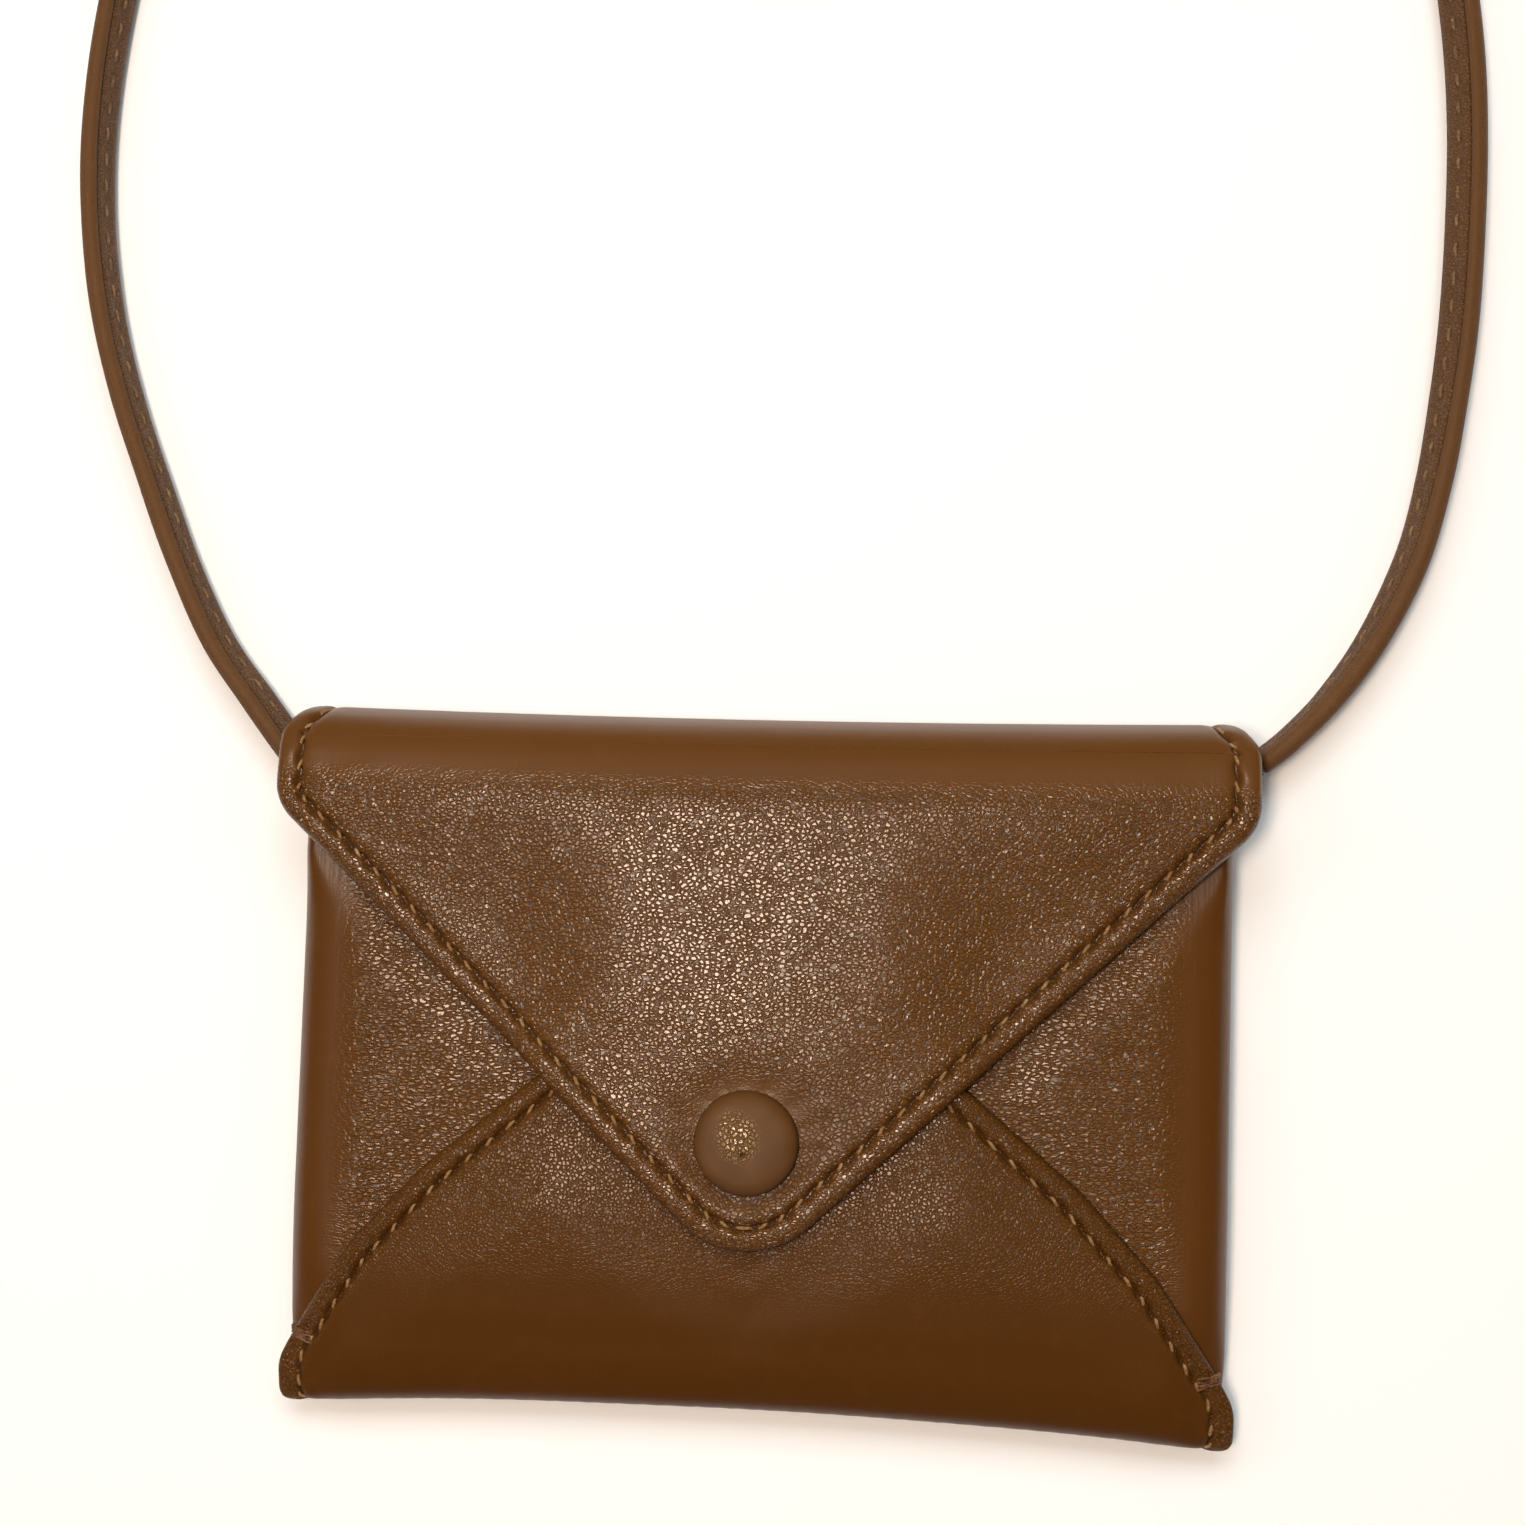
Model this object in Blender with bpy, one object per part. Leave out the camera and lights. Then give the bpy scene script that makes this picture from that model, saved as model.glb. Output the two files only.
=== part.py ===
"""Envelope-shaped leather neck pouch with a snap flap and a flat neck strap.

The pouch lies on its back: width along X, height along Y with the mouth at +Y, thickness along Z.
The origin is at the middle of the pouch's back. Lengths are in metres.
Bodies: the pouch, the fold panel across its mouth, and the flap that hangs on the fold panel.
"""

import math

import bmesh
import bpy
from mathutils import Vector

MM = 0.001
GAP = 0.3 * MM

# Driving dimensions of the pouch.
HALF_WIDTH = 54.7 * MM
TOP_Y = 41.0 * MM
BOTTOM_Y = -41.0 * MM
LEATHER = 1.0 * MM
LINING = 0.4 * MM
CARD_SPACE = 4.4 * MM
CORNER_RADIUS = 2.5 * MM

# Heights of the layers, from the back up.
BACK_TOP = LEATHER
BACK_LINING_Z = BACK_TOP + GAP
CARD_FLOOR_Z = BACK_LINING_Z + LINING
FRONT_LINING_Z = CARD_FLOOR_Z + CARD_SPACE
WING_Z = FRONT_LINING_Z + LINING + GAP
WING_LEATHER = 0.9 * MM
POCKET_Z = WING_Z + WING_LEATHER + GAP
FLAP_LINING_Z = POCKET_Z + LEATHER + GAP
FLAP_Z = FLAP_LINING_Z + LINING + GAP
FLAP_TOP = FLAP_Z + LEATHER

# Flap outline.
FLAP_HALF_WIDTH = 57.1 * MM
FLAP_SHOULDER_Y = 29.4 * MM
FLAP_POINT_Y = -24.3 * MM
FLAP_POINT_RADIUS = 10.4 * MM
FLAP_SHOULDER_RADIUS = 6.0 * MM
FLAP_TOP_RADIUS = 3.5 * MM

# Snap fastener, on the flap's centre line.
SNAP_Y = -8.0 * MM
CAP_RADIUS = 6.0 * MM
CAP_RISE = 2.3 * MM
SHANK_RADIUS = 1.2 * MM
SOCKET_RADIUS = 5.0 * MM
SOCKET_BORE = 3.1 * MM
STUD_BASE_RADIUS = 4.8 * MM
STUD_RADIUS = 2.5 * MM
POST_RADIUS = 1.6 * MM
SNAP_PLAY = 0.3 * MM

# Neck strap: a folded strip that leaves through the two upper corners.
STRAP_WIDTH = 5.0 * MM
STRAP_THICKNESS = 2.4 * MM
STRAP_END_LENGTH = 13.0 * MM
STRAP_END_Z = 2.0 * MM
ROUTE_STEP = 2.4 * STRAP_WIDTH
STRAP_LOW = STRAP_WIDTH / 2

# The rest of the strap is wound in two layers, two turns across, and held by a tie.
COIL_CENTRE = Vector((0.0, 176.0 * MM, 0.0))
COIL_RADIUS = 30.0 * MM
COIL_PITCH = 2.7 * MM
COIL_TURNS_ACROSS = 2
COIL_LIFT = 0.9 * MM
COIL_HEIGHT = 2 * STRAP_WIDTH + 0.4 * MM
TIE_THICKNESS = 0.6 * MM
TIE_WIDTH = 6.0 * MM

THREAD = 0.5 * MM
TACK_THREAD = 0.7 * MM
STITCH_INSET = 3.1 * MM


# --- Scene and materials ---------------------------------------------------------------------


def clear_scene():
    for item in list(bpy.data.objects):
        bpy.data.objects.remove(item)


def make_material(name, colour, roughness, metallic=0.0):
    material = bpy.data.materials.new(name)
    material.use_nodes = True
    shader = material.node_tree.nodes["Principled BSDF"]
    shader.inputs["Base Color"].default_value = (*colour, 1.0)
    shader.inputs["Roughness"].default_value = roughness
    shader.inputs["Metallic"].default_value = metallic
    material.diffuse_color = (*colour, 1.0)
    return material


# --- Outlines --------------------------------------------------------------------------------


def rounded(corners, steps=6):
    """The outline through (x, y, radius) corners, anticlockwise, with each corner rounded by an arc."""
    outline = []
    for index, (x, y, radius) in enumerate(corners):
        here = Vector((x, y))
        if radius == 0.0:
            outline.append(here)
            continue
        before = Vector(corners[index - 1][:2]) - here
        after = Vector(corners[(index + 1) % len(corners)][:2]) - here
        half = before.angle(after) / 2
        reach = radius / math.tan(half)
        centre = here + (before.normalized() + after.normalized()).normalized() * radius / math.sin(half)
        start = here + before.normalized() * reach - centre
        turn = start.angle_signed(here + after.normalized() * reach - centre)
        for step in range(steps + 1):
            angle = -turn * step / steps
            outline.append(centre + Vector((
                start.x * math.cos(angle) - start.y * math.sin(angle),
                start.x * math.sin(angle) + start.y * math.cos(angle),
            )))
    return outline


def mirrored(corners):
    """Corners on the -X side, top to bottom, completed anticlockwise by their mirror image."""
    return corners + [(-x, y, radius) for x, y, radius in reversed(corners) if x != 0.0]


def block(x_low, x_high, y_low, y_high, radius=0.0):
    return [(x_low, y_high, radius), (x_low, y_low, radius), (x_high, y_low, radius), (x_high, y_high, radius)]


def flap_corners():
    return mirrored([
        (-FLAP_HALF_WIDTH, TOP_Y, FLAP_TOP_RADIUS),
        (-FLAP_HALF_WIDTH, FLAP_SHOULDER_Y, FLAP_SHOULDER_RADIUS),
        (0.0, FLAP_POINT_Y, FLAP_POINT_RADIUS),
    ])


def pocket_seam():
    """The slanting edge of the front pocket on the -X side, from its top down to the corner tab."""
    return [(-26.0 * MM, -2.4 * MM), (-38.0 * MM, -12.4 * MM), (-46.5 * MM, -21.6 * MM), (-52.6 * MM, -31.0 * MM)]


def pocket_corners():
    seam = [(x, y, 12.0 * MM) for x, y in pocket_seam()]
    tab = [(-55.6 * MM, -34.0 * MM, 1.6 * MM), (-55.6 * MM, BOTTOM_Y, 1.6 * MM)]
    return mirrored([(-6.0 * MM, 15.0 * MM, 5.0 * MM), *seam, *tab])


def wing_corners():
    """The -X wing, anticlockwise: it is folded in from the side and its tip stays clear of the snap."""
    return [
        (-46.0 * MM, 34.0 * MM, 2.0 * MM),
        (-HALF_WIDTH, 27.0 * MM, 1.0 * MM),
        (-HALF_WIDTH, -38.8 * MM, 1.0 * MM),
        (-50.0 * MM, -38.8 * MM, 1.0 * MM),
        (-10.0 * MM, -9.0 * MM, 2.0 * MM),
        (-10.0 * MM, 4.0 * MM, 2.0 * MM),
    ]


# --- Solids ----------------------------------------------------------------------------------


def add_object(name, data, material, parent=None):
    piece = bpy.data.objects.new(name, data)
    bpy.context.scene.collection.objects.link(piece)
    data.materials.append(material)
    if parent is not None:
        piece.parent = parent
        piece.matrix_parent_inverse = parent.matrix_world.inverted()
    return piece


def mesh_from(shape, name):
    bmesh.ops.recalc_face_normals(shape, faces=shape.faces)
    mesh = bpy.data.meshes.new(name)
    shape.to_mesh(mesh)
    shape.free()
    return mesh


def plate_mesh(name, outline, bottom, top):
    """An outline extruded from one height to another."""
    shape = bmesh.new()
    ring = [shape.verts.new((point.x, point.y, bottom)) for point in outline]
    face = shape.faces.new(ring)
    grown = bmesh.ops.extrude_face_region(shape, geom=[face])
    lifted = [item for item in grown["geom"] if isinstance(item, bmesh.types.BMVert)]
    bmesh.ops.translate(shape, verts=lifted, vec=(0.0, 0.0, top - bottom))
    return mesh_from(shape, name)


def plate(name, corners, bottom, top, material, parent=None):
    return add_object(name, plate_mesh(name, rounded(corners), bottom, top), material, parent)


def turned(name, profile, centre, material, parent=None, sides=32, bore=False):
    """A closed (radius, height) profile turned about a vertical axis; without a bore it closes on the axis."""
    shape = bmesh.new()
    rings = []
    for radius, height in profile:
        if radius == 0.0:
            rings.append([shape.verts.new((centre.x, centre.y, height))] * sides)
            continue
        angles = [2 * math.pi * side / sides for side in range(sides)]
        rings.append([
            shape.verts.new((centre.x + radius * math.cos(a), centre.y + radius * math.sin(a), height))
            for a in angles
        ])
    pairs = list(zip(rings, rings[1:]))
    if bore:
        pairs.append((rings[-1], rings[0]))
    for low, high in pairs:
        for side in range(sides):
            following = (side + 1) % sides
            corners = [low[side], low[following], high[following], high[side]]
            shape.faces.new(list(dict.fromkeys(corners)))
    piece = add_object(name, mesh_from(shape, name), material, parent)
    piece.data.shade_smooth()
    piece.data.set_sharp_from_angle(angle=math.radians(40))
    return piece


def cut(piece, name, centre, radius, low, high):
    """A round hole, made by a cutter that stays on the piece's own body."""
    profile = [(0.0, low), (radius, low), (radius, high), (0.0, high)]
    cutter = turned(name, profile, centre, piece.data.materials[0], piece.parent, sides=24)
    cutter.hide_render = True
    cutter.display_type = "WIRE"
    hole = piece.modifiers.new(name, "BOOLEAN")
    hole.operation = "DIFFERENCE"
    hole.solver = "EXACT"
    hole.object = cutter
    return cutter


def joined(piece, name, outline, bottom, top):
    """A wall that grows out of the piece, made one solid with it."""
    wall = add_object(name, plate_mesh(name, outline, bottom, top), piece.data.materials[0], piece.parent)
    wall.hide_render = True
    wall.display_type = "WIRE"
    union = piece.modifiers.new(name, "BOOLEAN")
    union.operation = "UNION"
    union.solver = "EXACT"
    union.object = wall
    return wall


def smooth_route(points, step):
    """Points about one step apart on a Catmull-Rom curve through the given points."""
    fine = []
    for index in range(len(points) - 1):
        before = points[max(index - 1, 0)]
        start = points[index]
        end = points[index + 1]
        after = points[min(index + 2, len(points) - 1)]
        for part in range(16):
            t = part / 16
            fine.append(0.5 * (
                2 * start
                + (end - before) * t
                + (2 * before - 5 * start + 4 * end - after) * t ** 2
                + (3 * start - before - 3 * end + after) * t ** 3
            ))
    fine.append(points[-1])
    length = sum((b - a).length for a, b in zip(fine, fine[1:]))
    spacing = length / max(1, round(length / step))
    route = [fine[0]]
    walked = 0.0
    for a, b in zip(fine, fine[1:]):
        walked += (b - a).length
        if walked >= spacing * len(route) and len(route) < round(length / spacing):
            route.append(b)
    route.append(fine[-1])
    return route


def tube(name, points, diameter, material, parent=None, sides=2):
    """A round tube with filled ends along the points."""
    curve = bpy.data.curves.new(name, "CURVE")
    curve.dimensions = "3D"
    curve.bevel_depth = diameter / 2
    curve.bevel_resolution = sides
    curve.use_fill_caps = True
    curve.render_resolution_u = 0
    line = curve.splines.new("POLY")
    line.points.add(len(points) - 1)
    for place, point in zip(line.points, points):
        place.co = (*point, 1.0)
    return add_object(name, curve, material, parent)


# --- The pouch -------------------------------------------------------------------------------


def make_back(leather, lining):
    plate("back_panel", block(-HALF_WIDTH, HALF_WIDTH, -39.7 * MM, 39.7 * MM, CORNER_RADIUS), 0.0, BACK_TOP, leather)
    plate("back_lining", block(-53.0 * MM, 53.0 * MM, -39.0 * MM, 38.8 * MM, CORNER_RADIUS),
          BACK_LINING_Z, CARD_FLOOR_Z, lining)
    plate("front_lining", block(-52.6 * MM, 52.6 * MM, -39.0 * MM, 33.0 * MM, CORNER_RADIUS),
          FRONT_LINING_Z, FRONT_LINING_Z + LINING, lining)


def make_wings(leather):
    """Each wing covers its side of the front and turns down along the side to the back panel."""
    for side, name in ((1, "wing_left"), (-1, "wing_right")):
        corners = [(side * x, y, radius) for x, y, radius in wing_corners()]
        corners = corners if side == 1 else corners[::-1]
        wing = plate(name, corners, WING_Z, WING_Z + WING_LEATHER, leather)
        outer = -side * HALF_WIDTH
        inner = outer + side * LEATHER
        wall = rounded(block(min(outer, inner), max(outer, inner), -38.0 * MM, 26.4 * MM))
        joined(wing, name + "_side_wall", wall, BACK_TOP + GAP, WING_Z + WING_LEATHER / 2)


def make_front_pocket(leather):
    """The triangular front turns down along the bottom edge and hides the edge of the back panel."""
    pocket = plate("front_pocket", pocket_corners(), POCKET_Z, POCKET_Z + LEATHER, leather)
    wall = rounded(block(-HALF_WIDTH + 2.0 * MM, HALF_WIDTH - 2.0 * MM, BOTTOM_Y, BOTTOM_Y + LEATHER))
    joined(pocket, "front_pocket_bottom_wall", wall, 0.0, POCKET_Z + LEATHER / 2)
    centre = Vector((0.0, SNAP_Y))
    cut(pocket, "front_pocket_stud_hole", centre, STUD_BASE_RADIUS + SNAP_PLAY + 0.2 * MM, 5.0 * MM, 12.0 * MM)


def make_seam_threads(thread):
    """A line of lockstitch along each slanting edge of the front pocket."""
    height = POCKET_Z + LEATHER + GAP + THREAD / 2
    for side, name in ((1, "pocket_thread_left"), (-1, "pocket_thread_right")):
        seam = [Vector((side * (x + 1.9 * MM), y - 2.4 * MM, height)) for x, y in pocket_seam()]
        tube(name, smooth_route(seam, 5.0 * MM), THREAD, thread)


def make_corner_tacks(thread):
    """A bar of thread across each lower corner tab, where the pocket's seam ends."""
    height = POCKET_Z + LEATHER + GAP + TACK_THREAD / 2
    for side, name in ((1, "corner_tack_left"), (-1, "corner_tack_right")):
        inner = Vector((side * -51.3 * MM, -33.4 * MM, height))
        outer = Vector((side * -54.4 * MM, -33.4 * MM, height))
        tube(name, [inner, outer], TACK_THREAD, thread)


# --- Fold and flap ---------------------------------------------------------------------------


def make_fold(leather, lining, axis):
    """The strip of leather across the mouth, between the back panel and the flap."""
    plate("fold_panel", block(-HALF_WIDTH, HALF_WIDTH, TOP_Y - LEATHER, TOP_Y), 0.0, FLAP_Z - GAP, leather, axis)
    plate("fold_lining", block(-52.0 * MM, 52.0 * MM, TOP_Y - LEATHER - GAP - LINING, TOP_Y - LEATHER - GAP),
          2.0 * MM, POCKET_Z + 0.5 * MM, lining, axis)


def make_flap(leather, lining, thread, axis):
    centre = Vector((0.0, SNAP_Y))
    outer = plate("flap_panel", flap_corners(), FLAP_Z, FLAP_TOP, leather, axis)
    cut(outer, "flap_panel_shank_hole", centre, SHANK_RADIUS + SNAP_PLAY, FLAP_Z - LEATHER, FLAP_TOP + LEATHER)
    inset = 2.2 * MM
    inner = plate("flap_lining", mirrored([
        (-FLAP_HALF_WIDTH + inset, TOP_Y - inset, FLAP_TOP_RADIUS),
        (-FLAP_HALF_WIDTH + inset, FLAP_SHOULDER_Y + inset / 2, FLAP_SHOULDER_RADIUS),
        (0.0, FLAP_POINT_Y + inset * 1.3, FLAP_POINT_RADIUS - inset),
    ]), FLAP_LINING_Z, FLAP_LINING_Z + LINING, lining, axis)
    cut(inner, "flap_lining_socket_hole", centre, SOCKET_RADIUS + SNAP_PLAY, FLAP_LINING_Z - LEATHER, FLAP_Z)
    reach = STITCH_INSET
    line = rounded(mirrored([
        (-FLAP_HALF_WIDTH + reach, TOP_Y - 2.0 * MM, 0.0),
        (-FLAP_HALF_WIDTH + reach, FLAP_SHOULDER_Y + reach / 2, FLAP_SHOULDER_RADIUS - 2.0 * MM),
        (0.0, FLAP_POINT_Y + reach * 1.37, FLAP_POINT_RADIUS - reach),
    ]))
    height = FLAP_TOP + GAP + THREAD / 2
    tube("flap_thread", [Vector((point.x, point.y, height)) for point in line], THREAD, thread, axis)


def make_snap(painted, brass, leather, axis):
    """Cap and socket are set in the flap; stud and post are set in the front pocket."""
    centre = Vector((0.0, SNAP_Y))
    dome_foot = FLAP_TOP + GAP
    dome = [(CAP_RADIUS * math.cos(a), dome_foot + 0.6 * MM + (CAP_RISE - 0.6 * MM) * math.sin(a))
            for a in (math.radians(step * 15) for step in range(6))]
    turned("snap_cap", [(0.0, FLAP_Z + 0.1 * MM), (SHANK_RADIUS, FLAP_Z + 0.1 * MM), (SHANK_RADIUS, dome_foot),
                        (CAP_RADIUS - 0.3 * MM, dome_foot), *dome, (0.0, dome_foot + CAP_RISE)],
           centre, painted, axis)
    socket_foot = POCKET_Z + 0.65 * MM
    socket_top = FLAP_Z - GAP
    turned("snap_socket", [(SOCKET_BORE, socket_foot), (SOCKET_RADIUS, socket_foot), (SOCKET_RADIUS, socket_top),
                           (SHANK_RADIUS + SNAP_PLAY, socket_top), (SHANK_RADIUS + SNAP_PLAY, socket_top - 0.2 * MM),
                           (SOCKET_BORE, socket_top - 0.2 * MM)],
           centre, brass, axis, bore=True)
    stud_bore = POST_RADIUS + SNAP_PLAY
    turned("snap_stud", [(stud_bore, POCKET_Z), (STUD_BASE_RADIUS, POCKET_Z), (STUD_BASE_RADIUS, POCKET_Z + 0.35 * MM),
                         (STUD_RADIUS, POCKET_Z + 0.35 * MM), (STUD_RADIUS, POCKET_Z + 1.15 * MM),
                         (stud_bore, POCKET_Z + 1.15 * MM)],
           centre, brass, bore=True)
    flange = FRONT_LINING_Z + LINING + 0.25 * MM
    turned("snap_post", [(0.0, flange), (STUD_BASE_RADIUS, flange), (STUD_BASE_RADIUS, flange + 0.25 * MM),
                         (POST_RADIUS, flange + 0.25 * MM), (POST_RADIUS, POCKET_Z + 1.0 * MM),
                         (0.0, POCKET_Z + 1.0 * MM)],
           centre, brass)
    backing = flange + 0.25 * MM + 0.25 * MM
    turned("snap_backing", [(stud_bore, backing), (9.0 * MM, backing), (9.0 * MM, backing + 0.35 * MM),
                            (stud_bore, backing + 0.35 * MM)],
           centre, leather, bore=True)


# --- Neck strap ------------------------------------------------------------------------------

# The route of each run, from its corner of the pouch to the coil, in millimetres.
LEFT_ROUTE = [
    (-57.2, 35.4, 2.5), (-59.0, 37.6, 2.5), (-62.6, 42.2, 2.5), (-68.1, 49.5, 2.5), (-73.1, 59.3, 2.5),
    (-77.2, 69.2, 2.5), (-81.1, 79.3, 2.5), (-84.1, 89.4, 2.5), (-85.9, 99.5, 2.5), (-86.7, 109.8, 2.5),
    (-86.4, 120.1, 2.5), (-85.2, 130.5, 2.5), (-82.8, 145.0, 2.5), (-78.2, 159.5, 2.5), (-69.8, 173.8, 2.5),
    (-57.2, 186.2, 2.7), (-41.8, 196.0, 2.9), (-25.5, 202.6, 3.2),
]
RIGHT_ROUTE = [
    (57.6, 37.2, 2.5), (60.7, 39.7, 2.5), (65.5, 44.8, 2.5), (70.3, 51.8, 2.5), (74.7, 61.2, 2.5),
    (77.2, 70.7, 2.5), (78.7, 80.1, 2.5), (79.8, 89.5, 2.5), (80.4, 100.0, 2.5), (80.6, 111.0, 2.5),
    (80.2, 121.0, 2.5), (79.0, 131.5, 2.5), (76.8, 145.5, 2.5), (72.8, 159.5, 2.5), (65.2, 172.8, 3.0),
    (54.0, 184.8, 4.0), (40.4, 195.2, 5.6), (25.5, 202.6, 7.4),
]


def make_strap_runs(leather):
    """The free runs of the strap, and its two ends sewn into the upper corners of the pouch."""
    for name, route in (("left", LEFT_ROUTE), ("right", RIGHT_ROUTE)):
        points = [Vector(point) * MM for point in route]
        tube(f"strap_{name}_run", smooth_route(points, ROUTE_STEP), STRAP_WIDTH, leather)
        out = (points[1] - points[0]).normalized()
        across = Vector((-out.y, out.x, 0.0)) * STRAP_WIDTH / 2
        face = points[0] - out * GAP
        foot = face - out * STRAP_END_LENGTH
        outline = [face - across, face + across, foot + across, foot - across]
        mesh = plate_mesh(f"strap_{name}_end", outline, STRAP_END_Z, STRAP_END_Z + STRAP_THICKNESS)
        add_object(f"strap_{name}_end", mesh, leather)


def make_coil(leather):
    """The wound length as one turned ring, and the tie round its bundle."""
    half = COIL_PITCH * COIL_TURNS_ACROSS / 2
    low = COIL_LIFT
    high = COIL_LIFT + COIL_HEIGHT
    turned("strap_coil", [(COIL_RADIUS - half, low), (COIL_RADIUS + half, low), (COIL_RADIUS + half, high),
                          (COIL_RADIUS - half, high)],
           COIL_CENTRE, leather, sides=48, bore=True)
    across = half + GAP
    sizes = ((across + TIE_THICKNESS, 0.0, high + GAP + TIE_THICKNESS), (across, TIE_THICKNESS, high + GAP))
    shape = bmesh.new()
    rings = []
    for along in (-TIE_WIDTH / 2, TIE_WIDTH / 2):
        for reach, foot, top in sizes:
            rings.append([shape.verts.new((COIL_CENTRE.x + along, COIL_CENTRE.y - COIL_RADIUS + y, z))
                          for y, z in ((-reach, foot), (reach, foot), (reach, top), (-reach, top))])
    outer_start, inner_start, outer_end, inner_end = rings
    for first, second in ((outer_start, inner_start), (inner_start, inner_end),
                          (inner_end, outer_end), (outer_end, outer_start)):
        for corner in range(4):
            following = (corner + 1) % 4
            shape.faces.new([first[corner], first[following], second[following], second[corner]])
    add_object("strap_tie", mesh_from(shape, "strap_tie"), leather)


# --- Assembly --------------------------------------------------------------------------------


def make_axis(name, place, parent=None):
    axis = bpy.data.objects.new(name, None)
    bpy.context.scene.collection.objects.link(axis)
    axis.location = place
    if parent is not None:
        axis.parent = parent
        axis.location = place - parent.location
    bpy.context.view_layer.update()
    return axis


def main():
    clear_scene()
    leather = make_material("leather", (0.19, 0.085, 0.030), 0.45)
    lining = make_material("lining", (0.22, 0.12, 0.055), 0.80)
    thread = make_material("thread", (0.24, 0.12, 0.045), 0.65)
    painted = make_material("painted_cap", (0.20, 0.09, 0.032), 0.35)
    brass = make_material("brass", (0.62, 0.45, 0.20), 0.35, 1.0)
    fold_axis = make_axis("fold_axis", Vector((0.0, TOP_Y, 0.0)))
    flap_axis = make_axis("flap_axis", Vector((0.0, TOP_Y, FLAP_TOP)), fold_axis)
    make_back(leather, lining)
    make_wings(leather)
    make_front_pocket(leather)
    make_seam_threads(thread)
    make_corner_tacks(thread)
    make_fold(leather, lining, fold_axis)
    make_flap(leather, lining, thread, flap_axis)
    make_snap(painted, brass, leather, flap_axis)
    make_strap_runs(leather)
    make_coil(leather)


main()
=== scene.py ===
# %% [markdown]
# A leather neck pouch, shaped like a small envelope.
# The rigid layout was made first as plain solids. This lesson dresses it: every leather panel gets its
# rolled rim, its stitching and its grain, and the neck strap gets its folded section and its full length.
# The frame must not move, so it is loaded first and every size below is read from it or repeats it.

# %% Load the frame
import math
import bmesh
import bpy
import numpy as np
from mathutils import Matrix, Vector


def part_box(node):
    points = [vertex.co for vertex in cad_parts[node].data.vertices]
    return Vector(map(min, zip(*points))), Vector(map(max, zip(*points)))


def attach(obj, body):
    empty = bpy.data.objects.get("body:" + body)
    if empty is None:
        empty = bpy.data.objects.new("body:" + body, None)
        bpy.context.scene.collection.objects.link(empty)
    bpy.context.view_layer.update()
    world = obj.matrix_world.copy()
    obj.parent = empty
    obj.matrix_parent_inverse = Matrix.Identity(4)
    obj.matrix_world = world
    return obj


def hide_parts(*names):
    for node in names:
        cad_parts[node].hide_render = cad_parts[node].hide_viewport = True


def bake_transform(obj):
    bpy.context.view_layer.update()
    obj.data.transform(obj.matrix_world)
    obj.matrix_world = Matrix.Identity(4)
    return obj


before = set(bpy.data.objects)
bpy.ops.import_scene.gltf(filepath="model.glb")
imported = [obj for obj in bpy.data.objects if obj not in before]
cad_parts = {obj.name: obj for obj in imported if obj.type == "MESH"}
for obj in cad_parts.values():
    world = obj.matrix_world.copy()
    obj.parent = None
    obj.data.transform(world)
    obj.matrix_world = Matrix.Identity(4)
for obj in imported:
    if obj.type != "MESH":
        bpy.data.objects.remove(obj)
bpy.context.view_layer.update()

MM = 0.001

# %% [markdown]
# The camera looks almost straight down on the pouch, from a quarter of a metre above the table.
# It comes first, because the strap is only allowed to leave the picture where this camera says so.

# %% Camera
camera_data = bpy.data.cameras.new("overhead_camera")
camera_data.lens = 50.0
camera_data.sensor_width = 36.0
camera_data.clip_start = 0.005
camera = bpy.data.objects.new("overhead_camera", camera_data)
bpy.context.scene.collection.objects.link(camera)
camera.location = (0.0263, 0.0190, 0.2527)
camera.rotation_euler = [math.radians(angle) for angle in (4.04, 5.96, 1.75)]
bpy.context.scene.camera = camera
print("camera height in mm:", round(camera.location.z / MM))

# %% [markdown]
# Small helpers. A leather worker cuts flat panels and then rolls their edges, so the panels here are also
# drawn flat, in millimetres, with a distance along the leather. One function then rolls the flat drawing
# over a half-ellipse wherever the real leather folds. That keeps grain, stitches and rims continuous.

# %% Helpers for drawing flat and rolling over


def ease(value, low, high):
    """0 below low, 1 above high, with a smooth change between them."""
    share = np.clip((np.asarray(value, float) - low) / (high - low), 0.0, 1.0)
    return share * share * (3.0 - 2.0 * share)


def roll_length(reach, height):
    """How much leather goes round a fold that reaches out this far and is this tall."""
    return math.pi * np.sqrt((reach ** 2 + (height / 2) ** 2) / 2)


def roll_over(along, start, reach, height, depth):
    """Leather flat up to start, then rolled to the underside. Returns how far out and how high it is."""
    turn = np.clip((along - start) / roll_length(reach, height), 0.0, 1.0) * math.pi
    out = np.where(along <= start, along, start + (reach - depth) * np.sin(turn))
    up = np.where(along <= start, height - depth, height / 2 + (height / 2 - depth) * np.cos(turn))
    return out, up


def line_lengths(line):
    """How far along a line each of its points is."""
    return np.concatenate([[0.0], np.cumsum(np.linalg.norm(np.diff(line, axis=0), axis=1))])


def at_lengths(line, lengths, wanted):
    """Points or directions kept along a line, read at the wanted distances along it."""
    return np.stack([np.interp(wanted, lengths, column) for column in line.T], axis=-1)


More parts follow.
